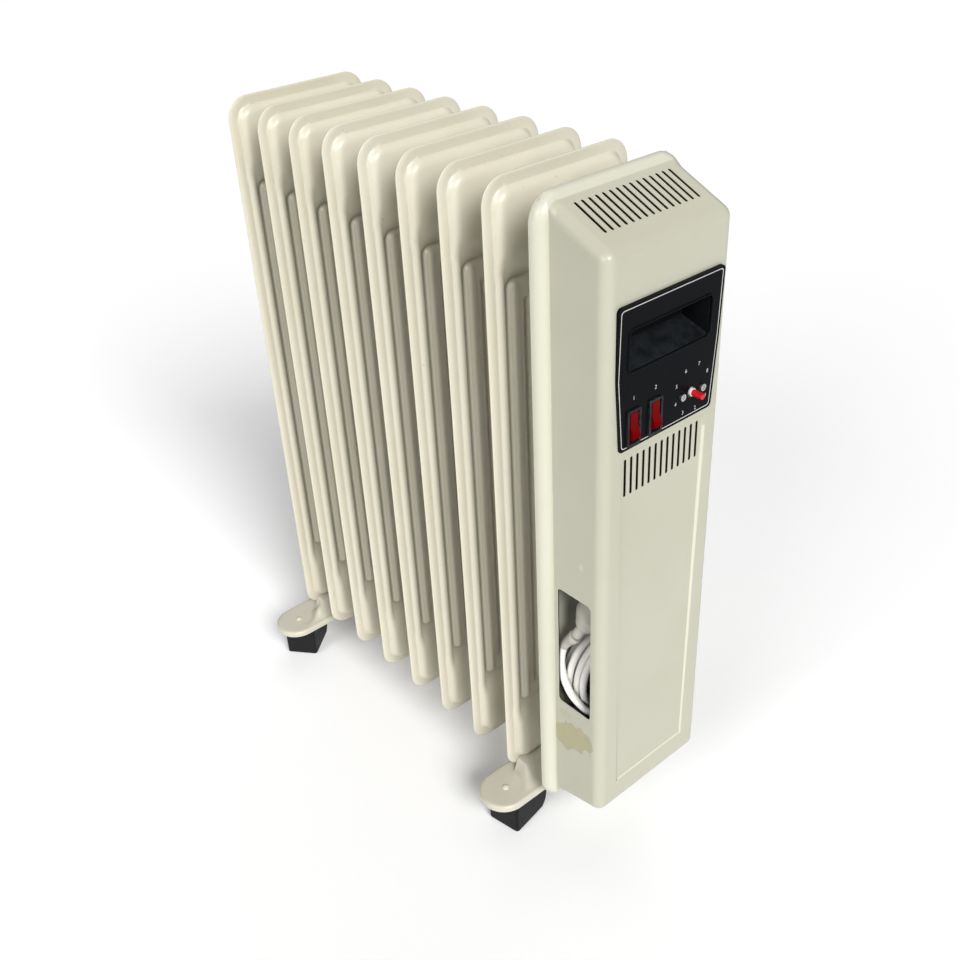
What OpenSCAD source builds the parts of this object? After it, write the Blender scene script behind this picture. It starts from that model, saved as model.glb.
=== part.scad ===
// Oil-filled column radiator on casters, with a slim control casing on its front end.
// The control panel faces -Y, the fins stack towards +Y, and the casters stand on z = 0.

/* [Fins] */
// Width of a fin
fin_w = 150; // [140:1:170]
// Height of a fin
fin_h = 585; // [560:5:640]
// Distance from one fin to the next
fin_pitch = 50; // [46:1:60]
// Radius of a fin's outer corners
fin_corner = 21; // [18:1:30]
// Width of the flat welded flange round a fin
flange_w = 9; // [7:0.5:11]
// Thickness of the two sheets of the flange
flange_t = 1.6; // [1.2:0.1:2.4]
// Half thickness of a fin at its oil headers
header_half = 8; // [6:0.5:9]
// Height of each flat header at the top and bottom of a fin
header_h = 56; // [50:1:66]
// Length over which a header slopes down to the flange
header_slope = 26; // [18:1:34]
// Radius of the header's outline at its corners
header_corner = 14; // [11:0.5:18]
// Radius of the oil channel up each side of a fin
channel_r = 4; // [3:0.25:5]
// Half thickness of the pressed field between the channels
field_half = 3; // [2:0.25:4]
// Gap between a side channel and the pressed field
field_gap = 2; // [1.5:0.25:4]
// Distance from the header's slope to the end of the weld seams
seam_inset = 5; // [3:1:12]
// Width of a weld seam in the field
seam_w = 6; // [4:0.5:8]
// Distance of the side seams from the middle of the fin
seam_x = 37; // [35:0.5:39]
// Radius of a raised rib
rib_r = 4.6; // [4:0.1:5.4]
// Distance of the outer ribs from the middle of the fin
outer_rib_x = 49; // [46:0.5:50]
// Distance of the inner ribs from the middle of the fin
inner_rib_x = 20; // [14:0.5:26]

/* [Oil headers and heater] */
// Outer diameter of the short pipes between the fins
hub_d = 40; // [34:1:44]
// Bore of the headers
hub_bore = 30; // [24:1:32]
// Thickness of the caps that close the headers
cap_t = 2; // [1:0.5:4]
// Height of the pressed disc on each cap
cap_dome = 1; // [0.5:0.25:2]
// Diameter of the post that carries the casing's top
post_d = 20; // [14:1:30]
// Width of the heater's hexagon, over its corners
hex_d = 24; // [20:1:28]
// Thickness of the heater's flange
flange_disc_t = 4; // [3:0.5:5]
// Height of the heater's hexagon
hex_h = 5; // [3:0.5:8]
// Diameter of a heater terminal's insulator
insulator_d = 5.2; // [4:0.2:6]
// Distance of a heater terminal from the header's middle
terminal_offset = 7; // [6.4:0.2:8]
// Width of a blade terminal
blade_w = 4.8; // [4:0.1:5]
// Thickness of a blade terminal
blade_t = 0.8; // [0.6:0.1:1]
// Length of a blade terminal
blade_l = 7; // [6:0.5:9]
// Diameter of the heater's tube
heater_d = 6.4; // [5:0.2:7]
// Distance from the middle of the header to a heater tube
heater_offset = 8; // [7.4:0.2:8.4]
// Reach of the heater past the second fin from the back
heater_reach = 30; // [0:1:40]

/* [Casing] */
// Distance from the front fin to the casing's back plate
casing_gap = 48; // [44:1:60]
// Thickness of the back plate
back_t = 2; // [1:0.25:3]
// Depth of the casing in front of its back plate
casing_depth = 63.3; // [61:0.5:70]
// Sheet thickness of the casing
wall = 1.5; // [1:0.1:2]
// Radius of the rolled bead round the casing's back edge
bead_r = 9; // [7:0.5:11]
// Height of the casing's top front edge above the fins' bottom
front_top = 555; // [540:1:558]
// Slope of the casing's top, in degrees
top_slope = 24.9; // [20:0.1:27]
// Height of the casing's bottom front edge above the fins' bottom
front_bottom = 25; // [20:1:40]
// Slope of the casing's underside, in degrees
under_slope = 13.2; // [8:0.1:16]
// Radius of the casing's upright front edges
front_r = 6.5; // [4:0.5:9]
// Radius of the casing's top front edge
brow_r = 7; // [5:0.5:9]

/* [Casing front and vents] */
// Half width of the recessed front panel at its top
panel_top_half = 48.5; // [46:0.5:52]
// Half width of the recessed front panel at its bottom
panel_bottom_half = 44; // [40:0.5:48]
// Height of the panel's bottom edge
panel_z0 = 52; // [40:1:70]
// Height of the panel's top edge
panel_z1 = 396; // [392:0.5:398]
// Depth of the panel at its top
panel_deep = 2.5; // [1.5:0.25:3]
// Depth of the panel at its bottom
panel_shallow = 1; // [0.5:0.25:2]
// Width of the panel's sloped edge
panel_edge = 2.5; // [1.5:0.25:4]
// Number of slots in the front
front_slots = 13; // [9:1:13]
// Distance between the front slots
front_slot_pitch = 6.78; // [6:0.02:7]
// Height of the lower ends of the front slots
front_slot_z = 357; // [320:1:358]
// Length of a front slot
front_slot_l = 33; // [20:1:35]
// Number of slots in the top
top_slots = 15; // [9:1:15]
// Distance between the top slots
top_slot_pitch = 6.8; // [6:0.1:7.4]
// Length of a top slot
top_slot_l = 33.3; // [20:0.5:34]
// Distance of the top slots' middle behind the middle of the top
top_slot_back = 1.5; // [0:0.1:2]
// Width of every vent slot
slot_w = 2.6; // [2:0.1:3]

/* [Control panel] */
// Height of the panel's bottom edge
plate_z0 = 400.5; // [400:0.5:402]
// Height of the crease across the panel
plate_crease = 460.5; // [458:0.5:462]
// Height of the panel's top edge
plate_z1 = 516.6; // [512:0.2:520]
// Half width of the panel above the crease
plate_half = 56; // [54:0.5:57]
// Half width of the panel at its bottom edge
plate_low_half = 51.5; // [51:0.5:53]
// Radius of the panel's corners
plate_r = 4; // [2:0.5:6]
// How far the panel's lower part stands out from the casing
plate_t = 1; // [0.8:0.1:1.5]
// How far the panel's top edge stands out from the casing
plate_top_t = 2.7; // [2:0.1:4]
// How far the panel laps over the casing at its sides and top
plate_lap = 5; // [4:0.5:5.5]
// How far the panel laps over the casing at its bottom
plate_low_lap = 1.5; // [1:0.1:1.5]
// Half width of the finger recess
grip_half = 44; // [36:1:44]
// Height of the lower edge of the finger recess
grip_z0 = 464; // [463:0.5:468]
// Height of the upper edge of the finger recess
grip_z1 = 497; // [490:0.5:500]
// Depth of the finger recess
grip_deep = 26; // [18:1:30]
// Wall of the finger recess
grip_wall = 1.4; // [1:0.1:1.5]
// Rise of the finger recess's floor towards its back
grip_rise = 8; // [2:0.5:12]
// Radius of the finger recess's corners
grip_r = 5; // [2:0.5:8]

/* [Switches and thermostat] */
// Position of the first switch
switch_1_x = -37; // [-37.5:0.5:-35]
// Position of the second switch
switch_2_x = -13.6; // [-15:0.2:-12]
// Height of the switches' middle
switch_z = 418; // [418:0.5:424]
// Width of a switch frame
switch_w = 14.4; // [13.6:0.2:15]
// Height of a switch frame
switch_h = 30; // [30:0.5:32]
// Thickness of a switch frame
switch_lip = 1.6; // [1:0.1:2]
// Depth of a switch behind the panel
switch_deep = 22; // [18:1:28]
// Width of a rocker
rocker_w = 10; // [8:0.2:10.2]
// Half length of a rocker's face
rocker_half = 11; // [10:0.1:11.2]
// Slope of each half of the rocker's face, in degrees
rocker_slope = 11; // [8:0.5:12]
// Height of the rocker's face above its pivot
rocker_rise = 4.5; // [4:0.1:5]
// How far the pressed half stands out of the frame
rocker_proud = 0.6; // [0.3:0.1:1]
// Radius of the rocker's pivot pins
rocker_pin_r = 1.25; // [1:0.05:1.5]
// Width of the lip of a switch frame
switch_rim = 0.8; // [0.6:0.1:1]
// Height between the contacts of a switch
contact_step = 8; // [7:0.5:9]
// Position of the thermostat's spindle
spindle_x = 28.2; // [26:0.2:29]
// Height of the thermostat's spindle
spindle_z = 421.5; // [420:0.5:424]
// Diameter of the spindle
spindle_d = 6; // [5:0.1:7]
// Reach of the spindle in front of the casing
spindle_out = 11.7; // [8:0.1:16]
// Depth of the flat on the spindle's end
spindle_flat = 1.2; // [0.8:0.1:2]
// Diameter of the bush round the spindle
bush_d = 9.6; // [8.6:0.2:11]
// Distance of each fixing screw from the spindle
screw_offset = 11.5; // [10.5:0.1:12.5]
// Diameter of the fixing screws
screw_d = 3; // [2.5:0.1:3.5]
// Diameter of the fixing screws' heads
screw_head_d = 5.8; // [5:0.1:6.4]
// Height of the fixing screws' heads
screw_head_h = 1.8; // [1.2:0.1:2.4]
// Length of the fixing screws behind the panel
screw_l = 8; // [6:0.5:10]
// How far the bush stands out of the panel
bush_out = 1.2; // [0.6:0.1:2]
// Length of the bush inside the thermostat
bush_in = 3; // [2:0.5:5]
// Length of the flat on the spindle's end
flat_l = 7; // [4:0.5:9]
// Size of the thermostat's body
thermostat_size = 32; // [30:0.5:33]
// Depth of the thermostat's body
thermostat_deep = 22; // [16:1:28]

/* [Cord bay] */
// Height of the bay window's lower edge
window_z0 = 133; // [130:1:140]
// Height of the bay window's upper edge
window_z1 = 257; // [240:1:262]
// Distance of the window's back edge behind the casing's front
window_back = 49.8; // [46:0.1:50]
// Distance of the window's front edge behind the casing's front
window_front = 12; // [11:0.1:16]
// Radius of the window's corners
window_r = 4; // [2:0.5:6]
// Sheet thickness of the bay's inner bracket
bracket_t = 1; // [0.8:0.1:1.5]
// Height of the bay's upper shelf
shelf_z = 290; // [286:1:310]
// Diameter of the mains cord
cord_d = 6.8; // [6:0.1:7]
// Half width of the coiled cord's outer loop, to the middle of the cord
coil_r = 46; // [44:0.5:46]
// Height of the cord's loops over their width
coil_stretch = 1.2; // [1:0.01:1.25]
// Number of loops in the coil
coil_turns = 5.5; // [3.5:1:5.5]
// Distance from one loop or layer to the next
coil_step = 7.6; // [7.6:0.02:7.7]
// Height of the middle of the coil
coil_z = 146; // [144:1:150]
// Position of the cord's gland, from the middle of the casing
gland_x = 20; // [10:1:24]
// Distance of the cord's gland behind the casing's front
gland_back = 33; // [26:1:36]
// Diameter of the plug's body
plug_d = 32; // [28:1:33]
// Length of the plug's body
plug_l = 39; // [34:1:39]
// Diameter of a plug pin
pin_d = 4.8; // [4:0.1:4.8]
// Length of a plug pin
pin_l = 19; // [16:0.5:19]
// Distance between the plug's pins
pin_pitch = 19; // [17:0.5:20]

/* [Feet] */
// Height of the fins' bottom above the floor
ground_gap = 56; // [54:0.5:66]
// Width of a foot bracket
foot_w = 48; // [44:1:52]
// Distance from the middle to a foot bracket's tip
foot_reach = 114.5; // [112:0.5:130]
// Distance from the middle to the rear foot bracket's tip
rear_foot_reach = 120; // [112:0.5:130]
// Drop of the foot's level plate below the fins
foot_drop = 4.7; // [3:0.1:6]
// Depth of the foot's skirt
skirt_h = 6.5; // [5:0.5:7]
// Radius of the foot's upper edge
foot_edge_r = 3; // [2:0.25:4]
// Sheet thickness of a foot
foot_t = 1.5; // [1.2:0.1:2]
// Reach of the raised saddle past the fins' edge
saddle_out = 4; // [2:0.5:6]
// Distance of the saddle's level top from the fins' edge
saddle_in = 7; // [5:0.5:12]
// Width of the saddle's level top
saddle_flat = 8; // [5:0.5:12]
// Gap between the saddle and the fin behind it
saddle_gap = 0.8; // [0.5:0.1:1.2]
// Position of the front foot, in front of the front fin
front_foot_y = -11; // [-12:0.5:-10]
// Position of the rear foot, ahead of the rear fin
rear_foot_back = 5; // [4:0.5:8]
// Position of the clamp bolt, ahead of a foot's middle
clamp_offset = 13; // [12:0.5:14]
// Diameter of the clamp bolt
clamp_d = 5; // [4:0.25:6]
// Height of a clamp nut
nut_h = 4; // [3:0.5:5]
// Width of a clamp nut, over its corners
nut_d = 9.2; // [9:0.1:10]

/* [Casters] */
// Distance of a caster's swivel from the foot's tip
swivel_inset = 26; // [25:0.5:28]
// Diameter of a caster wheel
wheel_d = 41; // [38:1:41]
// Distance from the swivel to the wheel's axle
trail = 19; // [18:0.5:20]
// Width of a caster's hood
caster_w = 35.5; // [32:0.5:37]
// Thickness of a hood's side walls
hood_side = 2.2; // [1.8:0.1:2.6]
// Radius of the hood's upright corners
hood_corner = 3; // [2:0.5:4]
// Height of the hood's lower edge above the floor
hood_clear = 4; // [3:0.5:8]
// Diameter of the swivel stem
stem_d = 6; // [5:0.1:6.4]
// Diameter of the axle
axle_d = 5; // [4:0.1:6]
// Distance of the hood's flat back behind the swivel
hood_back = 6; // [5.5:0.5:8]
// Gap between a hood and its wheel
hood_gap = 0.8; // [0.5:0.1:1.2]
// Wall of a hood over its wheel
hood_wall = 1.4; // [1.2:0.1:1.6]
// Diameter of a hood's swivel boss
boss_d = 16; // [14:0.5:17]
// Depth of the stem's seat in the hood
stem_seat = 7; // [6:0.5:7]
// Diameter of the stem's riveted head
rivet_d = 7.6; // [7:0.2:10]
// Height of the stem's riveted head
rivet_h = 1.8; // [1.4:0.1:2.4]
// Direction in which the front left wheel trails, in degrees
angle_front_left = 10; // [-180:1:180]
// Direction in which the rear left wheel trails, in degrees
angle_rear_left = 39; // [-180:1:180]
// Direction in which the front right wheel trails, in degrees
angle_front_right = 165; // [-180:1:180]
// Direction in which the rear right wheel trails, in degrees
angle_rear_right = 205; // [-180:1:180]

/* [Hidden] */
$fn = 64;
// Gap round a turning shaft, on the radius
run_fit = 0.05;
// Gap round fixed pieces that fit in a hole, on the radius
seat_fit = 0.1;
// Gap between soft or turning pieces and what they lie by
soft_gap = 0.3;
// Overlap that keeps cuts clean
cut = 1;

fins = 8;
rear_fin_y = (fins - 1) * fin_pitch;
fin_half = fin_w / 2;
header_half_w = fin_half - flange_w;
header_z = flange_w + header_h / 2;
header_tops = [header_z, fin_h - header_z];
hub_len = fin_pitch - 2 * header_half;
channel_x = header_half_w - channel_r - 0.5;
field_half_w = channel_x - channel_r - field_gap;
field_z0 = flange_w + header_h + header_slope - seam_inset - 6;
seam_z0 = flange_w + header_h + header_slope + seam_inset;

rim_y = -casing_gap - back_t;
front_y = rim_y - casing_depth;
side_half = fin_half - bead_r;
top_rise = tan(top_slope);
under_rise = tan(under_slope);
plate_front_y = front_y - plate_t;

wheel_r = wheel_d / 2;
axle_z = wheel_r - ground_gap;
foot_end_z = -soft_gap - foot_drop;
foot_under_z = foot_end_z - foot_t;
rear_foot_y = rear_fin_y - rear_foot_back;
hood_r = wheel_r + hood_gap + hood_wall;
rear_reach = (trail + hood_r) * sin(angle_rear_left) + caster_w / 2 * cos(angle_rear_left);

// The frame's origin lies on the floor, midway between the spindle's tip and the rearmost hood
origin_y = (front_y - spindle_out + rear_foot_y + rear_reach) / 2;

cream = [0.90, 0.88, 0.80];
casing_cream = [0.84, 0.83, 0.76];
steel = [0.68, 0.69, 0.70];
black = [0.10, 0.10, 0.10];
red = [0.80, 0.16, 0.10];
white = [0.93, 0.93, 0.91];

// Shared shapes

// Moves a piece from the fins' frame, with z = 0 at their bottom, to the part's frame
module in_frame() {
  translate([0, -origin_y, ground_gap]) children();
}

// Turns an outline drawn in x and z into a plate of thickness t, with its middle at y = 0
module upright(t) {
  rotate([90, 0, 0]) linear_extrude(t, center = true) children();
}

// A round bar along Y from y0 to y1
module bar_y(y0, y1, r) {
  translate([0, y1, 0]) rotate([90, 0, 0]) cylinder(r = r, h = y1 - y0);
}

// Middle of the arc of radius r that rounds corner b between a and c
function unit(v) = v / norm(v);
function corner_half(a, b, c) = acos(unit(a - b) * unit(c - b)) / 2;
function tangent_len(a, b, c, r) = r / tan(corner_half(a, b, c));
function arc_middle(a, b, c, r) = b + unit(unit(a - b) + unit(c - b)) * r / sin(corner_half(a, b, c));

// A convex outline with true arcs at its corners
module round_outline(points, radii) {
  n = len(points);
  polygon([for (i = [0 : n - 1])
    let (a = points[(i + n - 1) % n], b = points[i], c = points[(i + 1) % n], r = radii[i])
    for (p = r > 0 ? [b + unit(a - b) * tangent_len(a, b, c, r),
                      b + unit(c - b) * tangent_len(a, b, c, r)] : [b]) p]);
  for (i = [0 : n - 1])
    if (radii[i] > 0)
      translate(arc_middle(points[(i + n - 1) % n], points[i], points[(i + 1) % n], radii[i]))
        circle(r = radii[i]);
}

module rounded_rect(x0, z0, x1, z1, r) {
  round_outline([[x0, z0], [x1, z0], [x1, z1], [x0, z1]], [r, r, r, r]);
}

// A long hole with round ends, along the outline's second axis
module slot_outline(l, w) {
  square([w, l - w], center = true);
  for (s = [-1, 1]) translate([0, s * (l - w) / 2]) circle(d = w);
}

// Fins

// Half of a round edge of radius r on a plate of thickness 2 r, along the second axis
module half_round(r) {
  intersection() {
    circle(r = r);
    translate([0, -r]) square([r, 2 * r]);
  }
}

// A plate whose rim is fully round, w by h, drawn in x and y
module pillow(w, h, corner, half) {
  inner = corner - half;
  cx = w / 2 - corner;
  cy = h / 2 - corner;
  linear_extrude(2 * half, center = true) {
    square([2 * cx, h - 2 * half], center = true);
    square([w - 2 * half, 2 * cy], center = true);
  }
  for (side = [0, 180]) rotate([0, 0, side]) {
    translate([w / 2 - half, cy, 0]) rotate([90, 0, 0]) linear_extrude(2 * cy) half_round(half);
    translate([-cx, h / 2 - half, 0]) rotate([90, 0, 90]) linear_extrude(2 * cx) half_round(half);
  }
  for (q = [0 : 3])
    translate([(q == 0 || q == 3 ? 1 : -1) * cx, (q < 2 ? 1 : -1) * cy, 0])
      rotate([0, 0, 90 * q]) rotate_extrude(angle = 90) {
        translate([0, -half]) square([inner, 2 * half]);
        translate([inner, 0]) half_round(half);
      }
}

// The upper header: a pillow that slopes down to the flange at its lower end
module header() {
  slope_z = fin_h - flange_w - header_h;
  reach = header_h + header_slope + 2 * header_corner;
  intersection() {
    translate([0, 0, fin_h - flange_w - reach / 2]) rotate([90, 0, 0])
      pillow(2 * header_half_w, reach, header_corner, header_half);
    translate([-fin_half, 0, 0]) rotate([90, 0, 90]) linear_extrude(fin_w)
      polygon([
        [-header_half - cut, fin_h], [-header_half - cut, slope_z], [-header_half, slope_z],
        [-flange_t / 4, slope_z - header_slope], [flange_t / 4, slope_z - header_slope],
        [header_half, slope_z], [header_half + cut, slope_z], [header_half + cut, fin_h]
      ]);
  }
}

// A rib with ball ends, up the fin at the given place
module rib(x) {
  low = field_z0 + rib_r;
  translate([x, 0, low]) cylinder(r = rib_r, h = fin_h - 2 * low);
  for (z = [low, fin_h - low]) translate([x, 0, z]) sphere(r = rib_r);
}

module fin(number) {
  seam_len = fin_h - 2 * seam_z0;
  color(cream) in_frame() translate([0, (fins - number) * fin_pitch, 0]) difference() {
    union() {
      upright(flange_t) rounded_rect(-fin_half, 0, fin_half, fin_h, fin_corner);
      header();
      translate([0, 0, fin_h]) mirror([0, 0, 1]) header();
      for (s = [-1, 1]) translate([s * channel_x, 0, header_z])
        cylinder(r = channel_r, h = fin_h - 2 * header_z);
      upright(2 * field_half) difference() {
        translate([-field_half_w, field_z0]) square([2 * field_half_w, fin_h - 2 * field_z0]);
        for (x = [-seam_x, 0, seam_x]) translate([x, fin_h / 2]) slot_outline(seam_len, seam_w);
      }
      for (s = [-1, 1], x = [inner_rib_x, outer_rib_x]) rib(s * x);
    }
    for (z = header_tops) translate([0, 0, z])
      bar_y(-header_half - cut, header_half + cut, hub_bore / 2);
  }
}

// Oil headers and heater

module pipe_y(y0, y1) {
  difference() {
    bar_y(y0, y1, hub_d / 2);
    bar_y(y0 - cut, y1 + cut, hub_bore / 2);
  }
}

module oil_pipes(z) {
  color(cream) in_frame() for (i = [0 : fins - 2])
    translate([0, i * fin_pitch + header_half, z]) pipe_y(0, hub_len);
}

// Pressed discs that close both headers at the back of the rear fin
module header_caps() {
  y = rear_fin_y + header_half;
  color(cream) in_frame() for (z = header_tops) translate([0, 0, z]) {
    bar_y(y, y + cap_t, hub_d / 2);
    bar_y(y + cap_t, y + cap_t + cap_dome, hub_bore / 2);
  }
}

// The post that closes the top header in front and carries the casing
module casing_post() {
  color(cream) in_frame() translate([0, 0, header_tops[1]]) {
    bar_y(-header_half - 2 * cap_t, -header_half, hub_d / 2);
    bar_y(-casing_gap, -header_half - 2 * cap_t, post_d / 2);
  }
}

// The pipe that leads the heater into the bottom header and carries the casing
module heater_boss() {
  color(cream) in_frame() translate([0, 0, header_tops[0]]) pipe_y(-casing_gap, -header_half);
}

module heater_loop(y_end) {
  r = heater_d / 2;
  for (s = [-1, 1]) translate([s * heater_offset, 0, 0]) bar_y(-casing_gap + heater_d, y_end, r);
  translate([0, y_end, 0]) rotate_extrude(angle = 180) translate([heater_offset, 0]) circle(r = r);
}

module heater_tubes() {
  long_y = rear_fin_y - fin_pitch + heater_reach;
  color(steel) in_frame() translate([0, 0, header_tops[0]]) {
    rotate([0, 90, 0]) heater_loop(long_y);
    heater_loop(long_y - fin_pitch / 2);
  }
}

module heater_flange() {
  color(steel) in_frame() translate([0, 0, header_tops[0]]) {
    bar_y(-casing_gap - back_t, -casing_gap + heater_d, hub_bore / 2 - seat_fit);
    bar_y(rim_y - flange_disc_t, rim_y, (hub_bore + hub_d) / 4);
    translate([0, rim_y - flange_disc_t, 0]) rotate([90, 0, 0]) cylinder(d = hex_d, h = hex_h, $fn = 6);
  }
}

module heater_terminals() {
  y = rim_y - flange_disc_t - hex_h;
  color(white) in_frame() translate([0, 0, header_tops[0]])
    for (a = [0 : 90 : 270]) rotate([0, a, 0]) translate([0, 0, terminal_offset]) {
      bar_y(y - insulator_d, y, insulator_d / 2);
      translate([-blade_w / 2, y - insulator_d - blade_l, -blade_t / 2]) cube([blade_w, blade_l, blade_t]);
    }
}

// Casing

// Side view of the casing's body, in y and z, drawn in by the given amount
module casing_profile(inset) {
  y_back = inset > 0 ? rim_y + cut : rim_y;
  y_front = front_y + inset;
  top_in = inset / cos(top_slope);
  under_in = inset / cos(under_slope);
  round_outline(
    [
      [y_back, front_bottom - (y_back - front_y) * under_rise + under_in],
      [y_front, front_bottom - (y_front - front_y) * under_rise + under_in],
      [y_front, front_top + (y_front - front_y) * top_rise - top_in],
      [y_back, front_top + (y_back - front_y) * top_rise - top_in]
    ],
    [0, front_r - inset, brow_r - inset, 0]
  );
}

// The casing's body, without its bead, drawn in by the given amount
module casing_body(inset) {
  half = side_half - inset;
  y_back = inset > 0 ? rim_y + cut : rim_y;
  r = front_r - inset;
  intersection() {
    linear_extrude(fin_h + 2 * cut)
      round_outline([[-half, y_back], [-half, front_y + inset], [half, front_y + inset], [half, y_back]],
                    [0, r, r, 0]);
    translate([-half, 0, 0]) rotate([90, 0, 90]) linear_extrude(2 * half) casing_profile(inset);
    translate([0, front_y, front_top]) rotate([top_slope, 0, 0]) rotate([90, 0, 0])
      translate([0, 0, -fin_h]) linear_extrude(2 * fin_h)
        round_outline([[-half, -fin_h - fin_w], [half, -fin_h - fin_w], [half, -inset], [-half, -inset]],
                      [0, 0, r, r]);
  }
}

module quarter_round(r) {
  intersection() {
    circle(r = r);
    square(r);
  }
}

// The rolled bead round the casing's back edge
module bead() {
  corner = fin_corner - bead_r;
  cx = fin_half - fin_corner;
  cz = fin_h / 2 - fin_corner;
  inside = wall;
  translate([0, rim_y, fin_h / 2]) rotate([90, 0, 0]) {
    for (side = [0, 180]) rotate([0, 0, side]) {
      translate([fin_half - bead_r, cz, 0]) rotate([90, 0, 0]) linear_extrude(2 * cz) {
        quarter_round(bead_r);
        translate([-inside, 0]) square([inside, bead_r]);
      }
      translate([-cx, fin_h / 2 - bead_r, 0]) rotate([90, 0, 90]) linear_extrude(2 * cx) {
        quarter_round(bead_r);
        translate([-inside, 0]) square([inside, bead_r]);
      }
    }
    for (q = [0 : 3])
      translate([(q == 0 || q == 3 ? 1 : -1) * cx, (q < 2 ? 1 : -1) * cz, 0])
        rotate([0, 0, 90 * q]) rotate_extrude(angle = 90) {
          translate([corner - inside, 0]) square([inside, bead_r]);
          translate([corner, 0]) quarter_round(bead_r);
        }
  }
}

// One sloped side of the sunk front panel, along its leaning edge
module panel_side(grow) {
  lean = atan((panel_top_half - panel_bottom_half) / (panel_z1 - panel_z0));
  slope = panel_edge / panel_deep;
  deep = 2 * (panel_deep + grow);
  translate([panel_bottom_half + grow, front_y, panel_z0]) rotate([0, lean, 0])
    translate([0, 0, -fin_w]) linear_extrude(fin_h + fin_w)
      polygon([[-fin_w, -cut], [slope * cut, -cut], [-slope * deep, deep], [-fin_w, deep]]);
}

// The sunk front panel, grown by the given amount
module sunk_panel(grow) {
  slope = panel_edge / panel_deep;
  deep = panel_deep + grow;
  shallow = panel_shallow + grow;
  z0 = panel_z0 - grow;
  z1 = panel_z1 + grow;
  intersection() {
    translate([-fin_half, 0, 0]) rotate([90, 0, 90]) linear_extrude(fin_w)
      polygon([[front_y - cut, z0 - slope * cut], [front_y + shallow, z0 + slope * shallow],
               [front_y + deep, z1 - slope * deep], [front_y - cut, z1 + slope * cut]]);
    panel_side(grow);
    mirror([1, 0, 0]) panel_side(grow);
  }
}

module front_vents() {
  for (i = [0 : front_slots - 1])
    translate([(i - (front_slots - 1) / 2) * front_slot_pitch, front_y,
               front_slot_z + front_slot_l / 2])
      upright(4 * panel_deep) slot_outline(front_slot_l, slot_w);
}

// Slots through the sloping top, parallel to its fall
module top_vents() {
  middle_y = (rim_y + front_y) / 2 + top_slot_back;
  translate([0, middle_y, front_top + (middle_y - front_y) * top_rise])
    rotate([top_slope, 0, 0]) translate([0, 0, -2 * wall]) linear_extrude(4 * wall)
      for (i = [0 : top_slots - 1])
        translate([(i - (top_slots - 1) / 2) * top_slot_pitch, 0]) slot_outline(top_slot_l, slot_w);
}

// Air inlets through the underside
module bottom_vents() {
  middle_y = (rim_y + front_y) / 2;
  translate([0, middle_y, front_bottom - (middle_y - front_y) * under_rise])
    rotate([-under_slope, 0, 0]) translate([0, 0, -3 * wall]) linear_extrude(6 * wall)
      for (i = [0 : top_slots - 1])
        translate([(i - (top_slots - 1) / 2) * top_slot_pitch, 0]) slot_outline(top_slot_l, slot_w);
}

module bay_window() {
  translate([-side_half - cut, 0, 0]) rotate([90, 0, 90]) linear_extrude(wall + 2 * cut)
    rounded_rect(front_y + window_front, window_z0, front_y + window_back, window_z1, window_r);
}

// Opening in the casing's front, behind the control panel
opening_half = plate_low_half - plate_lap;
opening_z0 = plate_z0 + plate_low_lap;
opening_z1 = plate_z1 - plate_lap;

module panel_opening() {
  translate([-opening_half, front_y - cut, opening_z0])
    cube([2 * opening_half, wall + 2 * cut, opening_z1 - opening_z0]);
}

module casing_shell() {
  color(casing_cream) in_frame() difference() {
    union() {
      casing_body(0);
      bead();
    }
    sunk_panel(0);
    difference() {
      casing_body(wall);
      sunk_panel(wall);
    }
    front_vents();
    top_vents();
    bottom_vents();
    bay_window();
    panel_opening();
  }
}

module casing_back() {
  color(casing_cream) in_frame() difference() {
    translate([0, rim_y + back_t / 2, 0]) upright(back_t)
      rounded_rect(-fin_half, 0, fin_half, fin_h, fin_corner);
    translate([0, 0, header_tops[0]]) bar_y(rim_y - cut, -casing_gap + cut, hub_bore / 2);
  }
}

// Control panel

switch_xs = [switch_1_x, switch_2_x];
body_w = switch_w - 2 * switch_rim;
body_h = switch_h - 2 * switch_rim;
cavity_w = rocker_w + 2 * soft_gap;
rocker_sweep = norm([rocker_half, rocker_rise + rocker_half * tan(rocker_slope)]);
cavity_h = 2 * (rocker_sweep + soft_gap);
pocket_z0 = grip_z0 - grip_wall;
pocket_z1 = grip_z1 + grip_wall;

module control_plate() {
  mid_z = (plate_z0 + plate_crease) / 2;
  color(black) in_frame() difference() {
    intersection() {
      translate([0, front_y, 0]) upright(4 * plate_top_t)
        round_outline([[-plate_low_half, plate_z0], [plate_low_half, plate_z0],
                       [plate_half, plate_crease], [plate_half, plate_z1],
                       [-plate_half, plate_z1], [-plate_half, plate_crease]],
                      [plate_r, plate_r, 0, plate_r, plate_r, 0]);
      translate([-plate_half - cut, 0, 0]) rotate([90, 0, 90]) linear_extrude(2 * plate_half + 2 * cut)
        polygon([[front_y, plate_z0 - cut], [plate_front_y, plate_z0 - cut],
                 [plate_front_y, plate_crease], [front_y - plate_top_t, plate_z1],
                 [front_y - plate_top_t, plate_z1 + cut], [front_y, plate_z1 + cut]]);
    }
    translate([0, front_y, 0]) upright(4 * plate_top_t)
      rounded_rect(-grip_half, grip_z0, grip_half, grip_z1, grip_r);
    for (x = switch_xs)
      translate([x - body_w / 2 - seat_fit, plate_front_y - cut, switch_z - body_h / 2 - seat_fit])
        cube([body_w + 2 * seat_fit, 2 * plate_t + 2 * cut, body_h + 2 * seat_fit]);
    translate([spindle_x, 0, spindle_z]) {
      bar_y(plate_front_y - cut, front_y + cut, bush_d / 2 + seat_fit);
      for (s = [-1, 1]) translate([s * screw_offset, 0, 0])
        bar_y(plate_front_y - cut, front_y + cut, screw_d / 2 + seat_fit);
    }
  }
}

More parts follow.
